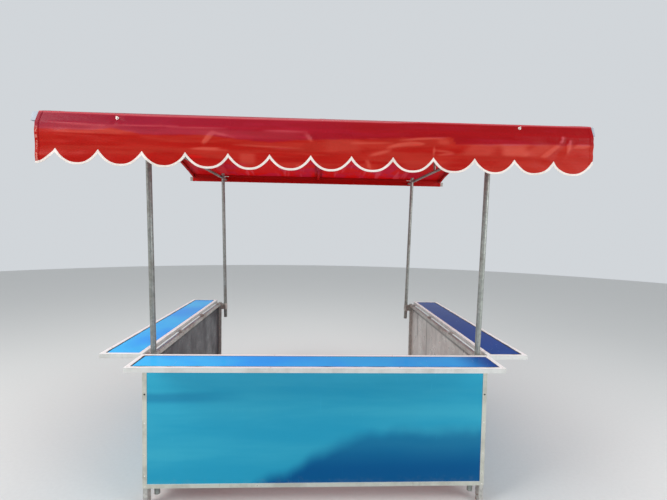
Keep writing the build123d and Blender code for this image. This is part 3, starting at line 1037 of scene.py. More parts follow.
@dataclass(frozen=True)
class Hardware:
    """Shapes of the small fasteners, each with its seat at z = 0 and its head towards +Z."""

    head_radius: float = 0.0042
    head_height: float = 0.0022
    washer_thickness: float = 0.0016
    bevel: float = 0.0009
    tip_bevel: float = 0.0008

    def cross_head(self) -> Template:
        """Pan head with a cross recess.

        The height over the seat is a dome, the root of 1 - 0.8 r^2 by the head's height, less a plus-shaped pocket
        that fades out towards its own rim.

        Returns:
            Corners and faces.
        """
        share = np.array([0.0, 0.14, 0.28, 0.42, 0.56, 0.7, 0.84, 0.95, 1.0, 1.0, 0.0])
        dome = self.head_height * np.sqrt(1.0 - 0.8 * share**2)
        dome[-2:] = 0.0
        points, quads = turned(packed(share * self.head_radius, dome), 24)
        flat = np.abs(points[:, :2]) / self.head_radius
        inside = smooth_step(flat.min(axis=1), 0.2, 0.1) * smooth_step(flat.max(axis=1), 0.62, 0.5)
        points[:, 2] -= inside * 0.55 * self.head_height * (points[:, 2] > 0.0)
        return points, quads

    def open_hole(self, radius: float) -> Template:
        """Screw hole drawn dark as painted shade of its depth: a shallow disc that bulges inwards behind a thin raised
        lip.

        Args:
            radius: Radius of the hole.

        Returns:
            Corners and faces.
        """
        share = np.array([0.0, 0.8, 0.92, 1.0, 1.0, 0.0])
        height = np.array([0.0004, 0.0004, 0.0006, 0.0003, -0.0006, -0.0006])
        return turned(packed(share * radius, height), 20)

    def hex_bolt(self, across: float, height: float, washer: float, stub: float) -> Template:
        """Hexagon head or nut on a washer, with the bolt's end standing out of it.

        Args:
            across: Half the width across the flats.
            height: Height of the head over its washer.
            washer: Radius of the washer.
            stub: How far the bolt's end stands past the head, or 0 for a closed head.

        Returns:
            Corners and faces.
        """
        thick = self.washer_thickness
        top, bevel = thick + height, self.bevel
        tip = top + stub + self.tip_bevel
        rows = [(0.0, 0.0, 0), (washer, 0.0, 0), (washer, 0.8 * thick, 0), (0.93 * washer, thick, 0)]
        rows += [(across, thick, 0), (across, thick, 1), (across, top - bevel, 1), (0.96 * across, top, 0)]
        rows += [(0.55 * across, top, 0), (0.52 * across, top + stub, 0), (0.4 * across, tip, 0), (0.0, tip, 0)]
        table = np.array(rows)
        return turned(table[:, :2], 24, table[:, 2])

    def threaded_rod(self, radius: float, length: float, pitch: float) -> Template:
        """Threaded rod: its radius swings in and out along its length, once a pitch, with closed ends.

        Args:
            radius: Outer radius.
            length: Length from the seat.
            pitch: Distance between crests.

        Returns:
            Corners and faces.
        """
        height = np.linspace(0.0, length, max(8, int(length / pitch * 4)))
        swing = radius * (0.93 + 0.07 * np.cos(FULL_TURN * height / pitch))
        rows = packed(swing, height)
        rows = np.concatenate([[[0.0, 0.0]], rows, [[0.0, length]]])
        return turned(rows, 14)

    def stitch(self, length: float, radius: float) -> Template:
        """One stitch: a thread that rises out of the cloth and dips back, thin at both ends.

        Its middle line is half a sine high and its radius follows the same half sine.

        Args:
            length: Length on the cloth.
            radius: Radius of the thread in the middle.

        Returns:
            Corners and faces, with the stitch along X and the cloth at z = 0.
        """
        t = np.linspace(0.0, 1.0, 6)
        rise = np.sin(math.pi * t)
        path = packed((t - 0.5) * length, 0.0, rise * radius * 1.1 - 0.3 * radius)
        return swept(path, ring(radius, 6), UP, False, 0.45 + 0.55 * rise)


HARDWARE = Hardware()


# Counters


@dataclass
class Counter:
    """One counter: a tube frame with a sheet on its outside and a board on arms.

    Its own axes have x along its face, from its left end as seen from the front, y inwards and z up, with the origin
    on the ground under the middle of the face.
    """

    name: str
    width: float
    centre: Place
    board_low: float
    board_high: float
    lip_screws: tuple[float, ...]
    finish: PanelSheet
    height: float = 0.900
    board_depth: float = 0.240
    rail_top: float = 0.865
    rail_bottom: float = 0.1155
    tube: float = 0.025
    angle_width: float = 0.025
    wall: float = 0.0015
    sheet: float = 0.001
    trim_bottom: float = 0.114
    arm: Place = (0.040, 0.010)
    arm_span: Place = (-0.190, 0.0275)
    arm_count: int = 4
    arm_slope: float = 0.04
    arm_tip: float = 0.35
    stile_screws: tuple[float, ...] = (0.498, 0.310, 0.188)
    stile_hole: float = 0.666
    hole_radius: float = 0.0052
    foot_screws: tuple[float, ...] = (-0.345, 0.383)
    arm_corner: float = 0.0012
    seal_inset: float = 0.0012
    seal_corner: float = 0.004
    seal_size: Place = (0.0024, 0.0008)
    weld_radius: float = 0.0019

    def axes(self) -> Array:
        """Its three axes in the frame, as columns: inwards is against outward, and along is a quarter turn from it."""
        inward = -np.array(self.finish.outward.value)
        return np.array([[inward[1], inward[0], 0.0], [-inward[0], inward[1], 0.0], [0.0, 0.0, 1.0]])

    def placed(self, ending: str, shapes: list[Template]) -> Piece:
        """Turns shapes in its own axes into one new piece in the frame, named after the counter with this ending."""
        points, quads = joined(shapes)
        return mesh_piece(f"{self.name}_{ending}", points @ self.axes().T + np.array([*self.centre, 0.0]), quads)

    def fasteners(self, template: Template, places: Array, normal: Place3) -> Template:
        """Copies a fastener to places in its own axes.

        Args:
            template: The fastener.
            places: Where the seats are.
            normal: The way the heads point.

        Returns:
            Corners and faces, in its own axes.
        """
        spin = np.arange(len(places)) * 1.7
        along = packed(np.cos(spin), np.sin(spin), np.cos(3.0 * spin)) + 0.01
        return repeated(template, places, frames_on(np.array(normal), along))

    def screws(self) -> Piece:
        """Screws of the board's lips, of the panel's stiles and of the trim along its foot.

        Returns:
            The new piece.
        """
        middle = self.angle_width / 2
        lips = [(x, y, self.height) for x in self.lip_screws for y in (middle - self.board_depth, -middle)]
        stile = self.width / 2 - middle
        faces = [(side * stile, 0.0, z) for side in (-1, 1) for z in (*self.stile_screws, self.trim_bottom + 0.010)]
        faces += [(x, 0.0, self.trim_bottom + middle) for x in self.foot_screws]
        head = HARDWARE.cross_head()
        up = self.fasteners(head, np.array(lips), (0.0, 0.0, 1.0))
        out = self.fasteners(head, np.array(faces), (0.0, -1.0, 0.0))
        return self.placed("counter_screws", [up, out])

    def holes(self) -> Piece:
        """Open hole high on each stile, a dark disc as painted shade of its depth.

        Returns:
            The new piece.
        """
        stile = self.width / 2 - self.angle_width / 2
        places = np.array([(side * stile, 0.0, self.stile_hole) for side in (-1.0, 1.0)])
        hole = HARDWARE.open_hole(self.hole_radius)
        return self.placed("stile_holes", [self.fasteners(hole, places, (0.0, -1.0, 0.0))])

    def seal(self) -> Piece:
        """Black bead along the inside of the board's lips: a low half-round profile carried round a rounded oblong.

        It is drawn thick along the outer side and the left end, where its width is painted shade of the raised lip, and
        thin along the other two.

        Returns:
            The new piece.
        """
        low = np.array([self.board_low + self.angle_width, self.angle_width - self.board_depth])
        high = np.array([self.board_high - self.angle_width, -self.angle_width])
        oblong = np.array([[high[0], high[1]], [low[0], high[1]], [low[0], low[1]], [high[0], low[1]]])
        corner = rounded(oblong + self.seal_inset * np.array([[-1, -1], [1, -1], [1, 1], [-1, 1]]), self.seal_corner)
        after = np.roll(corner, -1, axis=0)
        share = np.linspace(0.0, 1.0, 40, endpoint=False)
        path = corner[:, None, :] * (1.0 - share[None, :, None]) + after[:, None, :] * share[None, :, None]
        path = path.reshape(-1, 2)
        step = np.linalg.norm(np.roll(path, -1, axis=0) - path, axis=1)
        path = path[step > 1e-4]
        run = np.cumsum(np.linalg.norm(np.diff(path, axis=0, prepend=path[:1]), axis=1))
        # Painted shade: the bead widens near the outer side and the left end into the raised lip's shadow.
        to_shaded_lip = np.minimum(path[:, 0] - low[0], path[:, 1] - low[1])
        thick = smooth_step(to_shaded_lip, 0.012, 0.004)
        size = (0.6 + 1.6 * thick) * (1.0 + 0.22 * waves(run, run * 0.0, 0.09, 1.0, 8, 11))
        top = np.full((len(path), 1), self.height - self.wall)
        profile = ring(1.0, 10) * np.array(self.seal_size) + np.array([0.0, 0.0001])
        return self.placed("board_seal_and_lip_shade", [swept(np.hstack([path, top]), profile, UP, True, size)])

    def arms(self) -> Piece:
        """Flat bars that lie on the top rail and carry the board, each cut to a slope under its outer end.

        A rounded oblong is carried along each bar, and its height under the board shrinks in line towards the end.

        Returns:
            The new piece.
        """
        reach = self.width / 2 - self.wall - self.tube
        first, last = max(self.board_low, -reach) + self.arm[0], min(self.board_high, reach) - self.arm[0]
        oblong = np.array([[1, 1], [-1, 1], [-1, -1], [1, -1]]) * np.array(self.arm) / 2
        profile = rounded(oblong, self.arm_corner, 4)
        outer, inner = self.arm_span
        y = np.concatenate([outer + np.linspace(0.0, self.arm_slope, 6), [inner]])
        top = self.rail_top + self.arm[1]
        bars = []
        for x in np.linspace(first, last, self.arm_count):
            path = packed(x, y, top - self.arm[1] / 2)
            points, quads = swept(path, profile, UP, False)
            share = self.arm_tip + (1.0 - self.arm_tip) * np.clip((points[:, 1] - outer) / self.arm_slope, 0.0, 1.0)
            points[:, 2] = top - (top - points[:, 2]) * share
            bars.append((points, quads))
        return self.placed("counter_arm_bars", bars)

    def bead(self, x: float, bottom: float, inner: float) -> Template:
        """Weld round three sides of a rail's end: a ripple of round beads carried round a U.

        Args:
            x: Where the rail meets the leg.
            bottom: Underside of the rail.
            inner: The rail's inner face.

        Returns:
            Corners and faces, in its own axes.
        """
        front = self.wall + self.sheet + 0.002
        t = np.linspace(0.0, 1.0, 90)
        stops = np.array([0.0, 0.3, 0.7, 1.0])
        y = np.interp(t, stops, [front, inner, inner, front])
        z = np.interp(t, stops, [bottom, bottom, bottom + self.tube, bottom + self.tube])
        path = packed(x, y, z)
        seed = int(1000 * abs(x) + bottom * 10)
        size = 1.0 + 0.16 * np.sin(FULL_TURN * t * 26.0) + 0.12 * waves(t, t, 0.2, 1.0, 6, seed)
        return swept(path, ring(self.weld_radius, 8), np.array([1.0, 0.0, 0.0]), False, size)

    def welds(self) -> Piece:
        """Beads at both ends of the two rails.

        Returns:
            The new piece.
        """
        reach = self.width / 2 - self.wall - self.tube
        inner = self.wall + self.sheet + self.tube
        beads = [
            self.bead(side * reach, bottom, inner)
            for side in (-1.0, 1.0)
            for bottom in (self.rail_bottom, self.rail_top - self.tube)
        ]
        return self.placed("frame_welds", beads)

    def build(self, finishes: Finishes) -> list[Piece]:
        """Dresses the counter's nodes and adds its small pieces.

        Args:
            finishes: The stall's finishes.

        Returns:
            The new pieces.
        """
        prefix = f"{self.name}_counter_"
        dress([prefix + part for part in ("left_leg", "right_leg", "top_rail", "bottom_rail")], finishes.steel)
        dress([prefix + "panel_trim"], finishes.panel_trim)
        dress([prefix + "board_trim"], finishes.aluminium)
        dress([prefix + "board"], finishes.board)
        dress([prefix + "panel"], self.finish.material())
        arms = add_piece(self.arms(), finishes.steel)
        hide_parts(prefix + "board_arms")
        return [
            arms,
            add_piece(self.screws(), finishes.screw),
            add_piece(self.holes(), finishes.seal),
            add_piece(self.seal(), finishes.seal),
            add_piece(self.welds(), finishes.weld),
        ]


# Posts and roof frame


@dataclass
class RoofFrame:
    """Posts, rails and bows, with the bolts that hold the posts to the side rails and the welds of the rails."""

    post_x: Place = (0.9822, 0.9642)
    post_radius: float = 0.016
    post_y: Place = (-0.892, 0.996)
    rail_gap: float = 0.0288
    rail_radius: float = 0.0125
    rail_height: float = 2.1454
    rail_ends: Place = (-1.220, 1.2772)
    strut_y: float = 0.300
    strut_radius: float = 0.010
    strut_top: float = 2.2849
    bolt_reach: float = 0.042
    bolt_radius: float = 0.004
    bolt_pitch: float = 0.00125
    bolt_across: float = 0.013
    bolt_heights: Place = (0.0065, 0.0055)
    washer: float = 0.0095
    facing: tuple[Place, ...] = (
        (-1.2922, 2.1090), (-1.2402, 2.1114), (-1.2402, 2.1640), (-1.2760, 2.1545),
    )
    facing_ends: Place = (-1.3675, 1.3520)
    facing_insets: tuple[float, ...] = (0.0, 0.0006, 0.0027)
    facing_corners: tuple[float, ...] = (0.0025, 0.0022, 0.0012)
    facing_edge: float = 0.0005
    weld_radius: float = 0.0022

    def rail_x(self, y: float) -> float:
        """Distance of a side rail from the middle: a straight line along the outside of both posts."""
        share = (y - self.post_y[0]) / (self.post_y[1] - self.post_y[0])
        return self.post_x[0] + share * (self.post_x[1] - self.post_x[0]) + self.rail_gap

    def bolts(self) -> Piece:
        """Bolt through each post and side rail: head outside, nut and threaded end inside.

        Returns:
            The new piece.
        """
        shapes = []
        for side in Side:
            inward = np.array([-side.value, 0.0, 0.0])
            x = np.array(self.post_x)
            nut, head = (HARDWARE.hex_bolt(self.bolt_across / 2, high, self.washer, 0.0) for high in self.bolt_heights)
            rod = HARDWARE.threaded_rod(self.bolt_radius, self.bolt_reach, self.bolt_pitch)
            inner, outer = side.value * (x - self.post_radius), side.value * (x + self.rail_gap + self.rail_radius)
            for shape, places, way in ((nut, inner, inward), (rod, inner, inward), (head, outer, -inward)):
                seats = packed(places, self.post_y, self.rail_height)
                shapes.append(repeated(shape, seats, frames_on(np.tile(way, (len(seats), 1)), UP)))
        return mesh_piece("post_bolts", *joined(shapes))

    def rail_facing(self) -> Piece:
        """Leaning hollow section between the front rail and the vinyl, as long as the rail.

        Its outline is a four-sided figure with rounded corners, its bore the same figure drawn towards its middle,
        and the two are joined by narrow worn edges at both ends.

        Returns:
            The new piece.
        """
        corners = np.array(self.facing)
        middle = corners.mean(axis=0)
        inwards = (middle - corners) / np.linalg.norm(corners - middle, axis=1, keepdims=True)
        outer, worn, bore = (
            rounded(corners + inwards * inset, radius) for inset, radius in zip(self.facing_insets, self.facing_corners)
        )
        edge, (left, right) = self.facing_edge, self.facing_ends
        loops = [worn, outer, outer, worn, bore, bore]
        places = [left, left + edge, right - edge, right, right, left]
        between = [x for x in FRONT_PLACES if left < x < right]
        loops[2:2] = [outer] * len(between)
        places[2:2] = between
        points = np.stack([np.insert(loop, 0, x, axis=1) for loop, x in zip(loops, places)])
        points[:, :, 2] -= front_sag(points[:, :, 0])
        return mesh_piece("front_rail_facing", points, grid_quads(*points.shape[:2], wrap_rows=True, wrap_columns=True))

    def ring_weld(self, centre: Place3, axis: int, radius: float, seed: int) -> Template:
        """Rippled bead round a round tube's end.

        Args:
            centre: Middle of the tube's end.
            axis: The tube's direction, 1 for Y and 2 for Z.
            radius: Radius of the tube.
            seed: Seed of the bead's unevenness.

        Returns:
            Corners and faces.
        """
        angle = np.arange(72) * FULL_TURN / 72
        first, second = (0, 2) if axis == 1 else (0, 1)
        path = np.tile(np.array(centre), (len(angle), 1))
        path[:, [first, second]] += ring(radius, 72)
        up = np.zeros(3)
        up[axis] = 1.0
        size = 1.0 + 0.15 * np.sin(24.0 * angle) + 0.12 * np.sin(3.0 * angle + seed)
        return swept(path, ring(self.weld_radius, 8), up, True, size)

    def welds(self) -> Piece:
        """Beads at the side rails' ends and at the struts' ends.

        Returns:
            The new piece.
        """
        beads = []
        for seed, side in enumerate(Side):
            for end in self.rail_ends:
                place = (side.value * self.rail_x(end), end, self.rail_height)
                beads.append(self.ring_weld(place, 1, self.rail_radius, seed))
            x = side.value * self.rail_x(self.strut_y)
            for number, height in enumerate((self.rail_height + self.rail_radius, self.strut_top)):
                beads.append(self.ring_weld((x, self.strut_y, height), 2, self.strut_radius, seed + 2 * number + 2))
        return mesh_piece("roof_welds", *joined(beads))

    def build(self, finishes: Finishes) -> list[Piece]:
        """Dresses the posts, rails and bows and adds their small pieces.

        Args:
            finishes: The stall's finishes.

        Returns:
            The new pieces.
        """
        # Left posts: the darker copy, painted shade.
        dress(["front_left_post", "rear_left_post"], finishes.left_post)
        dress(["front_right_post", "rear_right_post"], finishes.right_post)
        dress(["left_post_sleeves", "right_post_sleeves"], finishes.steel)
        rails = ["left_roof_rail", "right_roof_rail", "ridge_rail", "ridge_struts", "rear_roof_rail"]
        # Roof rails, struts and bows: the darker copy, painted shade.
        dress([*rails, "left_roof_bow", "middle_roof_bow", "right_roof_bow"], finishes.rail)
        dress(["front_roof_rail"], finishes.rail_end)
        return [
            add_piece(self.bolts(), finishes.screw),
            add_piece(self.welds(), finishes.weld),
            add_piece(self.rail_facing(), finishes.rail_end),
        ]


# Canopy


@dataclass(frozen=True)
class Crease:
    """Fold line of the vinyl on the stall's front, from one place to another, across and over the ground."""

    start: Place
    end: Place
    height: float
    width: float

    def lift(self, x: Array, s: Array, section: Section) -> Array:
        """Lift of the fold: its height, falling off as the square of the distance from the line in an exponent.

        Args:
            x: Places across.
            s: Places along the section.
            section: The canopy's side view, which turns heights into places along it.

        Returns:
            The lift at each place.
        """
        a, b = (np.array([place[0], section.rising(place[1])]) for place in (self.start, self.end))
        run = b - a
        share = np.clip(((x - a[0]) * run[0] + (s - a[1]) * run[1]) / (run @ run), 0.0, 1.0)
        away = (x - a[0] - share * run[0]) ** 2 + (s - a[1] - share * run[1]) ** 2
        return self.height * np.exp(-away / self.width**2) * np.sin(math.pi * (0.06 + 0.88 * share)) ** 0.6


@dataclass(frozen=True)
class Patch:
    """Slanted oblong of the vinyl's front: paler as a painted reflection, or with a tone below 0 darker as painted
    shade.
    """

    middle: Place
    half: Place
    tone: float
    slant: float = 0.0

    def share(self, x: Array, z: Array) -> Array:
        """Tone at each place: full inside the oblong, easing off across its sides, wider where it is larger.

        Args:
            x: Places across.
            z: Heights.

        Returns:
            The tone.
        """
        across = np.abs(x - self.middle[0] - self.slant * (z - self.middle[1])) - self.half[0]
        upright = np.abs(z - self.middle[1]) - self.half[1]
        soft = 0.4 * self.half[0] + 0.002, 0.35 * self.half[1] + 0.001
        return self.tone * smooth_step(across, soft[0], -soft[0]) * smooth_step(upright, soft[1], -soft[1])


@dataclass
class Canopy:
    """The vinyl roof: one sheet from the scallops to the pocket round the rear rail, and its trimmings."""

    half_width: float = 1.345
    front: float = -1.300
    rear: float = 1.300
    ridge: float = 2.340
    setback: float = 0.050
    arc_radius: float = 4.9285
    lean: float = 0.358
    bend_height: float = 2.097
    bend_radius: float = 0.045
    front_corner: float = 0.009
    rear_corner: float = 0.012
    lowest: float = 1.909
    cusp: float = 1.964
    pitch: float = 0.200
    first_cusp: float = -1.257
    scallop_power: float = 2.35
    tape_width: float = 0.0105
    tape_cusp: float = 0.0205
    tape_proud: float = 0.001
    hem_bottom: float = 2.1226
    pocket: float = 1.2744
    hem_corner: float = 0.004
    flap: float = 0.028
    hem_width: float = 0.018
    thickness: float = 0.0018
    sag: float = 0.008
    seam: Place = (0.0155, 0.0140)
    seam_step: float = 0.0009
    hem_step: float = 0.0008
    dent: Place = (0.0026, 0.02)
    pulls: Place3 = (0.0009, 0.03, 0.016)
    flap_bend: float = 0.006
    cut_back: float = 0.003
    hem_stitch: float = 0.0135
    stitch_steps: Place = (0.0075, 0.0095)
    stitch_share: float = 0.72
    clean_band: float = 0.034
    clean_rows: int = 18
    row_counts: tuple[int, ...] = (30, 7, 11, 54, 8, 5, 5, 4, 4, 4, 6, 8)
    start: float = 1.900
    bow_x: float = 1.332
    bow_tube: float = 0.020
    bow_depth: float = 0.0228
    sleeve_gap: float = 0.0018
    sleeve_flange: float = 0.024
    sleeve_thickness: float = 0.0011
    sleeve_play: float = 0.0007
    sleeve_lap: float = 0.0004
    sleeve_bends: Place = (0.005, 0.006)
    bow_span: Place = (-1.2185, 1.268)
    bolt_places: tuple[Place, ...] = ((-0.973, 2.137), (0.972, 2.140))
    bolt_sizes: tuple[float, ...] = (0.0050, 0.0048, 0.0075, 0.007)
    tape_thread: Place = (0.0052, 0.0005)
    hem_thread: Place = (0.0062, 0.00065)
    short_cusp: Place = (1.143, 0.006)
    creases: tuple[Crease, ...] = tuple(Crease(row[:2], row[2:4], *row[4:]) for row in (
        (-1.298, 2.102, -1.027, 2.097, 0.0016, 0.005), (-1.050, 2.098, -0.685, 2.106, 0.0014, 0.005),
        (-0.740, 2.099, -0.451, 2.102, 0.0013, 0.005), (-0.281, 2.096, -0.076, 2.095, 0.0012, 0.005),
        (-1.280, 2.050, -0.870, 2.050, -0.0012, 0.005), (-1.250, 2.060, -0.950, 2.062, 0.0009, 0.005),
        (-0.526, 2.078, -0.568, 2.031, 0.0030, 0.010), (-0.517, 2.078, -0.423, 2.056, 0.0016, 0.007),
        (-0.657, 2.002, -0.451, 1.998, 0.0016, 0.007), (-0.432, 2.026, -0.090, 2.014, 0.0014, 0.006),
        (-0.451, 1.994, -0.041, 1.996, -0.0016, 0.006), (-0.052, 2.090, -0.012, 2.010, -0.0024, 0.010),
        (-0.078, 2.080, -0.046, 2.050, 0.0022, 0.010), (0.374, 2.064, 0.629, 2.082, 0.0020, 0.006),
        (0.311, 2.028, 0.423, 2.052, 0.0022, 0.007), (0.423, 2.052, 0.490, 2.046, 0.0018, 0.006),
        (0.140, 2.046, 0.340, 2.052, 0.0014, 0.006), (0.229, 1.988, 0.331, 2.016, 0.0022, 0.009),
        (0.540, 2.036, 0.541, 1.990, 0.0022, 0.006), (0.542, 2.017, 0.631, 2.011, 0.0016, 0.006),
        (0.562, 1.995, 0.645, 2.005, 0.0016, 0.006), (0.240, 1.966, 0.250, 1.924, -0.0018, 0.010),
        (1.177, 2.068, 1.187, 2.098, 0.0034, 0.008), (1.212, 2.027, 1.226, 2.082, 0.0034, 0.009),
        (1.150, 2.012, 1.196, 2.048, -0.0032, 0.016), (0.650, 2.047, 1.150, 2.058, 0.0012, 0.006),
        (1.246, 2.061, 1.322, 2.063, 0.0012, 0.006), (1.091, 2.000, 1.165, 2.055, 0.0018, 0.012),
    ))
    # Oblongs of painted reflection on the creased front; a tone below 0 gives painted shade.
    patches: tuple[Patch, ...] = tuple(Patch(row[:2], row[2:4], *row[4:]) for row in (
        (-1.160, 2.084, 0.170, 0.012, 0.45), (-0.760, 2.080, 0.260, 0.014, 0.30), (-0.310, 2.074, 0.240, 0.020, 0.28),
        (-1.100, 2.064, 0.210, 0.013, 0.30), (-1.040, 2.030, 0.070, 0.022, -0.75), (-0.825, 2.036, 0.140, 0.024, 0.15),
        (-0.700, 2.008, 0.060, 0.016, -0.60), (-0.470, 2.052, 0.045, 0.016, -0.55, -1.2),
        (-0.548, 2.054, 0.010, 0.022, 0.70, 0.85), (-0.550, 2.006, 0.050, 0.006, 0.50, 2.5),
        (-0.365, 1.962, 0.040, 0.028, 0.50), (-0.170, 1.938, 0.030, 0.018, -0.80), (-0.100, 1.928, 0.034, 0.012, 0.55),
        (0.100, 2.028, 0.090, 0.036, 0.32), (0.030, 1.962, 0.035, 0.016, -0.60), (0.288, 1.955, 0.034, 0.018, -0.85),
        (0.228, 1.944, 0.012, 0.022, 0.75, -0.4), (0.415, 2.044, 0.070, 0.008, 0.70, 2.0),
        (0.500, 1.946, 0.120, 0.020, 0.35), (0.521, 2.014, 0.014, 0.024, -0.55), (0.590, 2.060, 0.030, 0.014, 0.45),
        (0.770, 2.022, 0.080, 0.024, 0.50, 1.0), (0.942, 2.026, 0.062, 0.027, 0.85),
        (1.055, 2.026, 0.045, 0.027, 0.45, 1.2), (1.126, 2.027, 0.016, 0.028, 0.75, 1.35),
        (1.182, 2.084, 0.005, 0.013, 1.40, 0.3), (1.219, 2.054, 0.006, 0.026, 1.20, 0.25),
        (1.284, 2.053, 0.036, 0.009, 0.80, 1.4), (1.226, 2.006, 0.028, 0.016, 0.55, 0.6),
        (1.275, 1.975, 0.070, 0.040, -0.60), (0.900, 1.946, 0.200, 0.026, -0.25), (0.950, 2.078, 0.340, 0.012, -0.30),
    ))
    cusp_places: tuple[float, ...] = (-1.3, -1.257, -1.057, -0.857, -0.457, -0.057, 0.143, 0.343, 0.543, 0.843, 1.143)
    cusp_shifts: tuple[float, ...] = (0.0, 0.003, 0.0, 0.004, 0.009, 0.0, -0.004, 0.0, -0.003, 0.004, 0.0)
    drawn_in: tuple[tuple[float, ...], ...] = ((0.003, 0.0, 0.008, 0.008, 0.0), (0.007, 0.005, 0.008, 0.008, 0.0))
    # Heights across the front where the painted sky reflection begins.
    sky_reflection_line: tuple[Place, ...] = (
        (-1.30, 2.071), (-1.06, 2.075), (-1.00, 2.087), (-0.85, 2.063), (-0.56, 2.066), (-0.40, 2.052),
        (-0.25, 2.041), (-0.09, 2.058), (0.13, 2.066), (0.63, 2.082), (0.65, 2.048), (1.34, 2.062),
    )

    def __post_init__(self) -> None:
        """Works out the side view once."""
        self.section = self.side_view()

    def side_view(self) -> Section:
        """Side view of the outer face: front drop, corner, roof, corner, rear drop, pocket and flap.

        The front drop hangs upright to a bend and leans back over the rail's facing. A corner of radius r lies
        inside the roof's circle of radius R, so its centre is R - r from the circle's centre, which gives the length
        of the leaning run from a quadratic, and the turn of each run follows from the directions to the centres.

        Returns:
            The section, from the lowest point of the front upwards. Its ends skip the bend, so the first is the
            foot, the second the top of the leaning run and the third the end of the corner.
        """
        centre = np.array([self.setback, self.ridge - self.arc_radius])
        quarter, r = math.pi / 2, self.hem_corner
        rise = np.array([math.sin(self.lean), math.cos(self.lean)])
        foot = np.array([self.front, self.bend_height]) - centre
        foot += self.front_corner * np.array([rise[1], -rise[0]])
        along = foot @ rise
        leaning = math.sqrt(along**2 - foot @ foot + (self.arc_radius - self.front_corner) ** 2) - along
        corner = foot + leaning * rise
        front_turn = math.atan2(corner[1], corner[0])
        trimmed = self.bend_radius * math.tan(self.lean / 2)
        rear_y = self.rear - self.rear_corner - self.setback
        rear_z = math.sqrt((self.arc_radius - self.rear_corner) ** 2 - rear_y**2)
        rear_turn = math.atan2(rear_z, rear_y)
        across = self.rear - self.pocket - 2 * r
        roof_at_pocket = math.sqrt(self.arc_radius**2 - (self.pocket - self.setback) ** 2)
        bend = self.flap_bend
        inner = centre[1] + roof_at_pocket - 3.2 * self.thickness - bend - self.hem_bottom - r
        slope = quarter - math.atan2(roof_at_pocket, self.pocket - self.setback)
        runs = [
            (self.bend_height - trimmed - self.start, 0.0),
            (self.bend_radius * self.lean, -self.lean),
            (leaning - trimmed, 0.0),
            (self.front_corner * (math.pi - self.lean - front_turn), front_turn + self.lean - math.pi),
            (self.arc_radius * (front_turn - rear_turn), rear_turn - front_turn),
            (self.rear_corner * rear_turn, -rear_turn),
            (centre[1] + rear_z - self.hem_bottom - r, 0.0),
            (r * quarter, -quarter),
            (across, 0.0),
            (r * quarter, -quarter),
            (inner, 0.0),
            (bend * (quarter - slope), quarter - slope),
            (self.flap, 0.0),
        ]
        line = carried(runs, (self.front, self.start), quarter)
        return replace(line, ends=np.delete(line.ends, [1, 2]))

    def edge(self, x: Array, upper: bool = False) -> Array:
        """Height of a row of scallops: low + (cusp - low) |1 - 2 t|^p, with t the share of a pitch.

        Args:
            x: Places across.
            upper: Whether it is the tape's upper edge, or else the lower one, where the vinyl is cut.

        Returns:
            The height at each place.
        """
        t = ((x - self.first_cusp) / self.pitch) % 1.0
        cusp, low = self.cusp, self.lowest
        if upper:
            cusp, low = cusp + self.tape_cusp, low + self.tape_width
        return low + (cusp - low) * np.abs(1.0 - 2.0 * t) ** self.scallop_power

    def relief(self, x: Array, s: Array) -> Array:
        """How far the sheet stands out of its plain side view.

        On the roof it sags between the bows, as a parabola across, with long ripples from front to rear. The front
        hangs in level folds, swings at its lower edge and keeps its fold lines. It is drawn in at the bolts, and
        lies flat on every rail and bow. The seam in the middle is a low step.

        Args:
            x: Places across.
            s: Places along the section.

        Returns:
            The distance outwards at each place.
        """
        ends = self.section.ends
        between = np.clip(np.abs(x) / self.bow_x, 0.0, 1.0)
        span = 4.0 * between * (1.0 - between)
        roof = smooth_step(s, ends[2] + 0.03, ends[2] + 0.35) * smooth_step(s, ends[3] - 0.03, ends[3] - 0.35)
        hanging = smooth_step(s, ends[1] - 0.035, ends[1] - 0.085)
        taut = smooth_step(s, ends[2] + 0.02, ends[2]) * (1.0 - hanging)
        swing = smooth_step(s, ends[1] - 0.08, 0.0)
        tail = smooth_step(s, ends[4] - 0.01, ends[4] + 0.01) * smooth_step(s, ends[8] + 0.03, ends[8])
        lift = -self.sag * roof * span
        lift += 0.0011 * roof * np.sqrt(span) * waves(x + 0.5 * s, s, 0.35, 0.5, 8, 4)
        for share, size, *field_of_waves in (
            (roof * span, 0.0016, 0.16, 1.5, 10, 3),
            (hanging, 0.0022, 0.75, 0.085, 9, 21),
            (hanging, 0.0012, 0.22, 0.12, 9, 22),
            (taut, 0.0004, 0.30, 0.10, 9, 23),
            (swing, 0.0045, 0.42, 1.5, 9, 5),
            (tail, 0.0007, 0.07, 0.08, 9, 8),
        ):
            lift += share * size * waves(x, s, *field_of_waves)
        near_front = smooth_step(s, ends[2] + 0.02, ends[2] - 0.01)
        for crease in self.creases:
            lift += near_front * crease.lift(x, s, self.section)
        for place in self.bolt_places:
            up, aside = s - self.section.rising(place[1]), x - place[0]
            away, pull = np.hypot(aside, up), np.arctan2(up, aside)
            lift -= self.dent[0] * np.exp(-((away / self.dent[1]) ** 2))
            size, reach, width = self.pulls
            lift += size * np.cos(5.0 * pull) * np.exp(-(((away - reach) / width) ** 2))
        seam = smooth_step(np.abs(x), *self.seam) * smooth_step(s, ends[5], ends[5] - 0.02)
        seam *= smooth_step(s, ends[2], ends[2] + 0.04)
        inner = self.half_width - self.hem_width
        hem = smooth_step(np.abs(x), inner - 0.001, inner + 0.0005)
        return lift + self.seam_step * seam + self.hem_step * hem

    def drawn(self, x: Array, s: Array) -> Array:
        """Places across once the sheet hangs: its sides are drawn in, by the eighth power of the distance out.

        Args:
            x: Places across on the flat sheet.
            s: Places along the section.

        Returns:
            The places across.
        """
        ends = self.section.ends
        places = [0.0, self.bend_height - self.start, ends[1], ends[2], ends[2] + 0.045]
        amount = np.where(x < 0, *(np.interp(s, places, side) for side in self.drawn_in))
        swung = smooth_step(s, places[1], 0.02) * np.interp(x, self.cusp_places, self.cusp_shifts)
        return x - np.sign(x) * amount * (np.abs(x) / self.half_width) ** 8 + swung

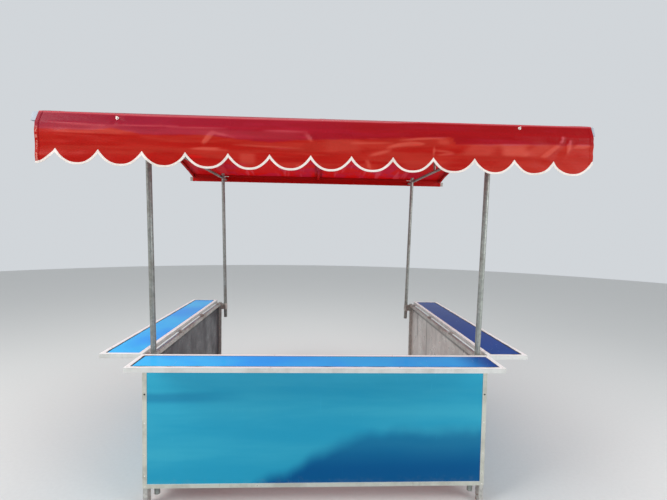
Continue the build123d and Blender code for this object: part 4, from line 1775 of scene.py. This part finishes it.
    def dropped(self, x: Array, s: Array) -> Array:
        """Depth by which the front hangs lower: with its rail, and at one short cusp near the right end.

        Args:
            x: Places across on the flat sheet.
            s: Places along the section.

        Returns:
            The depths.
        """
        corner = self.section.ends[2]
        place, depth = self.short_cusp
        cusp = depth * smooth_step(np.abs(x - place), 0.08, 0.0) * smooth_step(s, 0.14, 0.05)
        return front_sag(x) * smooth_step(s, corner + 0.034, corner) + cusp

    def skin(self, x: Array, s: Array, above: float = 0.0) -> tuple[Array, Array]:
        """Places and outward directions on the creased sheet.

        Args:
            x: Places across.
            s: Places along the section.
            above: Distance outwards from the face.

        Returns:
            Points and unit normals, three numbers each.
        """
        place, normal = self.section.at(s)
        lift = self.relief(x, s) + above
        y, z = place[..., 0] + lift * normal[..., 0], place[..., 1] + lift * normal[..., 1] - self.dropped(x, s)
        points = packed(self.drawn(x, s), y, z)
        return points, packed(0.0, normal[..., 0], normal[..., 1])

    def columns(self) -> Array:
        """Places across for the sheet's grid: even steps that hit each cusp, with extra ones at the hems and the seam.

        Returns:
            The places, from left to right.
        """
        steps = self.pitch / 20.0
        first = math.ceil((-self.half_width - self.first_cusp) / steps)
        last = math.floor((self.half_width - self.first_cusp) / steps)
        even = self.first_cusp + steps * np.arange(first, last + 1)
        hem = self.hem_width
        insets = [0.0, 0.001, 0.007, 0.0095, self.hem_stitch, 0.016, hem - 0.0005, hem, hem + 0.001, hem + 0.004]
        side, seam = self.half_width - np.array(insets), np.array(self.seam)
        extra = np.concatenate([side, -side, seam, -seam])
        merged = np.sort(np.concatenate([even, extra]))
        return merged[np.concatenate([[True], np.diff(merged) > 2e-4])]

    def sheet(self) -> Piece:
        """The vinyl: rows from the scalloped edge to the flap, columns across.

        The lowest rows run from the scallops to a level line, so the edge is cut clean, and the rest are level.

        Returns:
            The new piece.
        """
        x = self.columns()
        ends = self.section.ends
        level = self.cusp + self.clean_band - self.start
        edge = self.edge(x) + self.cut_back - self.start
        share = np.linspace(0.0, 1.0, self.clean_rows)[:, None]
        low = edge[None, :] * (1.0 - share) + level * share
        stops = [level, ends[1], ends[2], ends[2] + 0.2, ends[3] - 0.1, *ends[3:10], ends[11]]
        spans = zip(stops, stops[1:], self.row_counts)
        rows = np.concatenate([np.linspace(first, last, count)[1:] for first, last, count in spans])
        s = np.concatenate([low, np.broadcast_to(rows[:, None], (len(rows), len(x)))])
        across = np.broadcast_to(x, s.shape)
        points, _ = self.skin(across, s)
        # Where the painted sky reflection begins on the front, a little uneven.
        sky_reflection_line = np.interp(across, *zip(*self.sky_reflection_line)) - self.start
        sky_reflection_line += 0.003 * waves(across, s, 0.12, 1.0, 6, 30)
        front = smooth_step(s, ends[2], ends[1])
        # Patches give painted reflections and painted shade; crease crests give painted highlights, also rubbed wear,
        # and valleys painted shade.
        worn = sum(patch.share(across, s + self.start) for patch in self.patches)
        worn = worn + sum(crease.lift(across, s, self.section) for crease in self.creases) / 0.0022
        # Painted highlight along the front's top bend.
        corner = smooth_step(np.abs(s - ends[1] - 0.003), 0.008, 0.003)
        hem = self.half_width - self.hem_width - 0.001
        marks = {
            "sky_reflection": smooth_step(s - sky_reflection_line, -0.003, 0.004) * smooth_step(s, ends[5], ends[4]),
            "doubled": smooth_step(s, ends[4], ends[5]),
            "worn": np.maximum(np.clip(worn, -1.0, 1.0) * front, corner),
            # Painted shade line beside the left hem.
            "hem_shade": smooth_step(np.abs(np.abs(across) - hem), 0.003, 0.001) * smooth_step(across, 0.2, -0.2),
            "frayed": smooth_step(np.abs(across + self.half_width - 0.0090), 0.0036, 0.0020)
            * smooth_step(s, 2.090 - self.start, 2.070 - self.start),
        }
        uv = packed(across, s)
        piece = mesh_piece("canopy_sheet", points, grid_quads(*s.shape), uv, marks, closed=False)
        thicken(piece, self.thickness)
        return piece

    def flat_size(self) -> tuple[float, float, float]:
        """Width, length and area of the sheet before it was hung.

        Returns:
            Width and length over all, and the area less what the scallops cut away.
        """
        x = np.linspace(-self.half_width, self.half_width, 4001)
        cut = float(np.mean(self.edge(x)) - self.lowest)
        length = self.section.length() - (self.lowest - self.start)
        return 2 * self.half_width, length, 2 * self.half_width * (length - cut)

    def tape(self) -> Piece:
        """White tape folded over the scalloped edge.

        At each place across, a flat loop runs up the front from the lower edge to the upper one and down the back.
        Both edges are rows of parabolas, and a loop point at share u of the height stands out by the tape's own
        crown, a root of u (1 - u).

        Returns:
            The new piece.
        """
        columns = self.columns()
        x = np.unique(np.round(np.concatenate([columns, columns[:-1] + np.diff(columns) / 2]), 6))
        low = self.edge(x)
        high = self.edge(x, upper=True)
        around = 20
        turn = np.arange(around) * FULL_TURN / around
        share = 0.5 - 0.5 * np.cos(turn)
        out = np.sign(np.sin(turn)) * np.abs(np.sin(turn)) ** 0.42
        middle = -self.thickness / 2
        half = self.thickness / 2 + self.tape_proud
        z = low[:, None] * (1.0 - share) + high[:, None] * share
        across = np.broadcast_to(x[:, None], z.shape)
        pucker = 0.00035 * waves(across, z, 0.012, 0.05, 8, 40)
        s = z - self.start
        lift = self.relief(across, s) + middle + out * (half + pucker)
        rings = packed(self.drawn(across, s), self.front - lift, z - self.dropped(across, s))
        poles = [np.repeat(end.mean(axis=1, keepdims=True), around, axis=1) for end in (rings[:1], rings[-1:])]
        points = np.concatenate([poles[0], rings, poles[1]])
        return mesh_piece("canopy_tape", points, grid_quads(len(points), around, wrap_columns=True))

    def stitch_rows(self) -> list[Piece]:
        """Thread on the tape, down both side hems and across the rear pocket.

        Returns:
            The two new pieces: tape stitches and hem stitches.
        """
        fine = np.linspace(-self.half_width + 0.004, self.half_width - 0.004, 6001)
        low = self.edge(fine)
        high = self.edge(fine, upper=True)
        height = low + self.stitch_share * (high - low)
        run = np.concatenate([[0.0], np.cumsum(np.hypot(np.diff(fine), np.diff(height)))])
        on_tape, on_hem = self.stitch_steps
        at = np.arange(0.004, run[-1], on_tape)
        x, z = np.interp(at, run, fine), np.interp(at, run, height)
        next_x, next_z = np.interp(at + 0.001, run, fine), np.interp(at + 0.001, run, height)
        ahead = packed(next_x - x, 0.0, next_z - z)
        points, normals = self.skin(x, z - self.start, self.tape_proud)
        stitch = HARDWARE.stitch(*self.tape_thread)
        front = repeated(stitch, points, frames_on(normals, ahead))
        back_points = points - normals * (2 * self.tape_proud + self.thickness)
        back = repeated(stitch, back_points, frames_on(-normals, ahead))
        tape = mesh_piece("tape_stitches", *joined([front, back]))

        lines = []
        for side in Side:
            x_row = side.value * (self.half_width - self.hem_stitch)
            bottom = float(self.edge(np.array(x_row))) + 0.02 - self.start
            s = np.arange(bottom, self.section.ends[5] - 0.004, on_hem)
            lines.append((np.full_like(s, x_row), s))
        across = np.arange(-self.half_width + 0.006, self.half_width - 0.004, on_hem)
        lines.append((across, np.full_like(across, self.roof_distance(self.pocket - self.hem_width))))
        hem = HARDWARE.stitch(*self.hem_thread)
        rows = []
        for line in lines:
            place, normal = self.skin(*line)
            rows.append(repeated(hem, place, frames_on(normal, np.gradient(place, axis=0))))
        return [tape, mesh_piece("hem_stitches", *joined(rows))]

    def roof_distance(self, y: float) -> float:
        """Distance along the section of a place on the roof's arc, from its angle about the arc's centre.

        Args:
            y: The place, from front to rear.

        Returns:
            The distance.
        """
        corner = self.section.ends[2]
        first = float(np.interp(corner, self.section.distance, self.section.y))
        turns = [math.acos((place - self.setback) / self.arc_radius) for place in (first, y)]
        return float(corner + self.arc_radius * (turns[0] - turns[1]))

    def sleeve(self, name: str, middle: float, side: float) -> Piece:
        """Vinyl strip that holds a bow to the underside: a U-shaped profile carried along the roof's arc.

        Args:
            name: Name of the piece.
            middle: The bow's place across.
            side: -1 or 1 for an outer bow, whose strip starts flush with the canopy's edge, or 0.

        Returns:
            The new piece.
        """
        wide = self.bow_tube / 2 + self.sleeve_gap
        top = self.thickness + self.sleeve_play
        deep = self.bow_depth + self.sleeve_gap
        quarter, lap, (r, soft) = math.pi / 2, self.sleeve_lap, self.sleeve_bends
        wall, flange = deep - top - r - soft, self.sleeve_flange
        if side:
            edge = self.half_width - lap - abs(middle)
            runs = [(deep - r - lap, 0.0), (r * quarter, quarter), (edge + wide - 2 * r, 0.0)]
            runs += [(r * quarter, quarter), (wall, 0.0), (soft * quarter, -quarter), (flange, 0.0)]
            outline = carried(runs, (-edge, -lap), -quarter)
        else:
            half = [(flange, 0.0), (soft * quarter, -quarter), (wall, 0.0), (r * quarter, quarter)]
            runs = [*half, (2 * (wide - r), 0.0), *half[::-1]]
            outline = carried(runs, (-(wide + soft + flange), -top), 0.0)
        t = np.linspace(0.0, outline.length(), 40)
        profile, _ = outline.at(t)
        s = np.linspace(self.roof_distance(self.bow_span[0]), self.roof_distance(self.bow_span[1]), 150)
        place, normal = self.section.at(s)
        grid_s, grid_t = np.meshgrid(s, t, indexing="ij")
        loose = smooth_step(-profile[None, :, 1], top + 0.004, deep)
        depth = -profile[None, :, 1] + 0.0012 * loose * (1.0 + waves(grid_s, grid_t, 0.09, 0.05, 8, 50 + int(side)))
        turn = -side if side else 1.0
        x = middle + turn * profile[None, :, 0] + np.zeros_like(depth)
        y = place[:, None, 0] - depth * normal[:, None, 0]
        z = place[:, None, 1] - depth * normal[:, None, 1]
        marks = {"sky_reflection": np.zeros_like(x), "doubled": np.full_like(x, 0.25)}
        uv = packed(grid_t, grid_s)
        quads = grid_quads(*x.shape)
        if turn > 0:
            quads = quads[:, ::-1]
        piece = mesh_piece(name, packed(x, y, z), quads, uv, marks, closed=False)
        thicken(piece, self.sleeve_thickness)
        return piece

    def bolts(self) -> Piece:
        """Bolt end with nut and washer where the vinyl is held to the front rail.

        Returns:
            The new piece.
        """
        x, z = np.array(self.bolt_places).T
        points, normals = self.skin(x, self.section.rising(z))
        axes = frames_on(normals, np.array([1.0, 0.0, 0.3]))
        return mesh_piece("canopy_bolts", *repeated(HARDWARE.hex_bolt(*self.bolt_sizes), points, axes))

    def build(self, finishes: Finishes) -> list[Piece]:
        """Makes the canopy and logs the size of its sheet.

        Args:
            finishes: The stall's finishes.

        Returns:
            The new pieces.
        """
        sheet = add_piece(self.sheet(), finishes.vinyl)
        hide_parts("canopy_cover")
        tape = add_piece(self.tape(), finishes.tape)
        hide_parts("canopy_binding")
        trimmings = [tape]
        tape_thread, hem_thread = self.stitch_rows()
        trimmings.append(add_piece(tape_thread, finishes.tape))
        trimmings.append(add_piece(hem_thread, finishes.vinyl))
        for name, middle, side in (("left", -self.bow_x, -1.0), ("middle", 0.0, 0.0), ("right", self.bow_x, 1.0)):
            trimmings.append(add_piece(self.sleeve(f"{name}_bow_sleeve", middle, side), finishes.vinyl))
        bolts = add_piece(self.bolts(), finishes.screw)
        width, length, area = self.flat_size()
        LOG.info("sheet cut to %.3f by %.3f m, %.2f square metres", width, length, area)
        return [sheet, *trimmings, bolts]


# Studio


@dataclass(frozen=True)
class Lamp:
    """Soft square lamp that looks at the middle of the stall."""

    name: str
    place: Place3
    size: float
    power: float
    colour: Place3 = (1.0, 1.0, 1.0)


@dataclass(frozen=True)
class Studio:
    """Pale floor, even light and the camera at the photograph's place."""

    lamps: tuple[Lamp, ...] = (
        Lamp("key", (-4.6, -3.4, 4.4), 2.8, 250.0, (1.0, 0.985, 0.96)),
        Lamp("fill", (4.6, -4.0, 2.8), 3.2, 150.0, (0.97, 0.985, 1.0)),
        Lamp("top", (0.4, 0.6, 6.0), 3.4, 125.0),
    )
    middle: Place3 = (0.0, 0.0, 1.2)
    floor_radius: float = 16.0
    camera_place: Place3 = (-0.0332, -3.356, 1.6206)
    yaw: float = 0.0457
    pitch: float = 0.0466
    roll: float = 0.0177
    lens: float = 22.83
    sensor: float = 36.0
    clip: Place = (0.05, 100.0)
    sky_colour: Colour = (0.64, 0.67, 0.70, 1.0)

    def floor(self) -> None:
        """Round floor, a disc of rings about the origin, with a faintly uneven pale finish."""
        radius = np.linspace(0.0, self.floor_radius, 9)
        points = np.insert(radius[:, None, None] * ring(1.0, 64), 2, 0.0, axis=2)
        piece = mesh_piece("floor", points, grid_quads(*points.shape[:2], wrap_columns=True))
        sheet = NodeSheet("pale_floor")
        cloud = sheet.noise(40.0, 5.0, 0.6)
        colour = sheet.over(linear(204, 204, 202), linear(208, 208, 206), cloud, 0.3, 0.7)
        roughness = sheet.level(cloud, 0.35, 0.7, 0.6, 0.75)
        sheet.done(Base_Color=colour, Roughness=roughness)
        piece.data.materials.append(sheet.material)

    def sky(self) -> None:
        """Even, slightly cool light all round, which also shows as a pale background."""
        world = bpy.data.worlds.new("studio")
        world.use_nodes = True
        world.node_tree.nodes["Background"].inputs["Color"].default_value = self.sky_colour
        bpy.context.scene.world = world

    def light(self) -> None:
        """Hangs the lamps."""
        for lamp in self.lamps:
            data = bpy.data.lights.new(lamp.name, "AREA")
            data.shape, data.size, data.energy, data.color = "SQUARE", lamp.size, lamp.power, lamp.colour
            piece = bpy.data.objects.new(lamp.name, data)
            place = Vector(lamp.place)
            turn = (Vector(self.middle) - place).to_track_quat("-Z", "Y").to_matrix().to_4x4()
            piece.matrix_world = Matrix.Translation(place) @ turn
            bpy.context.scene.collection.objects.link(piece)

    def camera(self) -> None:
        """Camera with the photograph's place and angles.

        Yaw turns it to the right, pitch down, and roll lets level lines fall to the right.
        """
        turns = ((-self.yaw, "Z"), (math.pi / 2 - self.pitch, "X"), (self.roll, "Z"))
        yaw, pitch, roll = (Matrix.Rotation(angle, 4, axis) for angle, axis in turns)
        data = bpy.data.cameras.new("photo_view")
        data.lens, data.sensor_width = self.lens, self.sensor
        data.clip_start, data.clip_end = self.clip
        camera = bpy.data.objects.new("photo_view", data)
        camera.matrix_world = Matrix.Translation(Vector(self.camera_place)) @ yaw @ pitch @ roll
        bpy.context.scene.collection.objects.link(camera)
        bpy.context.scene.camera = camera

    def build(self) -> None:
        """Sets up the floor, the light and the camera."""
        self.camera()
        self.floor()
        self.sky()
        self.light()
        bpy.context.scene.view_settings.view_transform = "Standard"


def counters() -> list[Counter]:
    """Sets out the three counters at the places that the frame gives them, with each bare sheet's zinc: darker on the
    left as painted shade and lighter on the right as painted light.

    Returns:
        The front, left and right counter.
    """
    side_screws = (-0.86, -0.29, 0.28, 0.86)
    front = PanelSheet("panel_sheet_front")
    # Painted shade: the left sheet's bare zinc is a darker copy.
    left = PanelSheet("panel_sheet_left_shaded", Outward.LEFT, linear(72, 70, 76), linear(50, 48, 54))
    # Painted light: the right sheet's bare zinc is a lighter copy, with its strips' joints.
    light, dark, joints = linear(203, 199, 194), linear(167, 163, 159), ((0.402, 0.10), (0.737, 0.58))
    right = PanelSheet("panel_sheet_right_lit", Outward.RIGHT, light, dark, joints=joints)
    screws = (-0.33, 0.33)
    return [
        Counter("front", 2.0, (0.0, -0.94), -1.0, 1.0, (-0.985, -0.25, 0.43, 0.985), front),
        Counter("left", 1.9222, (-1.0, 0.0489), -0.8861, 0.9889, side_screws, left, foot_screws=screws),
        Counter("right", 1.9222, (1.0, 0.0489), -0.9889, 0.8861, side_screws, right, foot_screws=screws),
    ]


def main() -> None:
    """Builds the stall's classes in order, then the studio, and reports the pieces."""
    logging.basicConfig(level=logging.INFO, format="%(name)s: %(message)s")
    finishes = Finishes()
    Studio().build()
    pieces: list[Piece] = []
    for counter in counters():
        pieces += counter.build(finishes)
    pieces += RoofFrame().build(finishes)
    pieces += Canopy().build(finishes)
    LOG.info("%d new pieces", len(pieces))


if __name__ == "__main__":
    main()
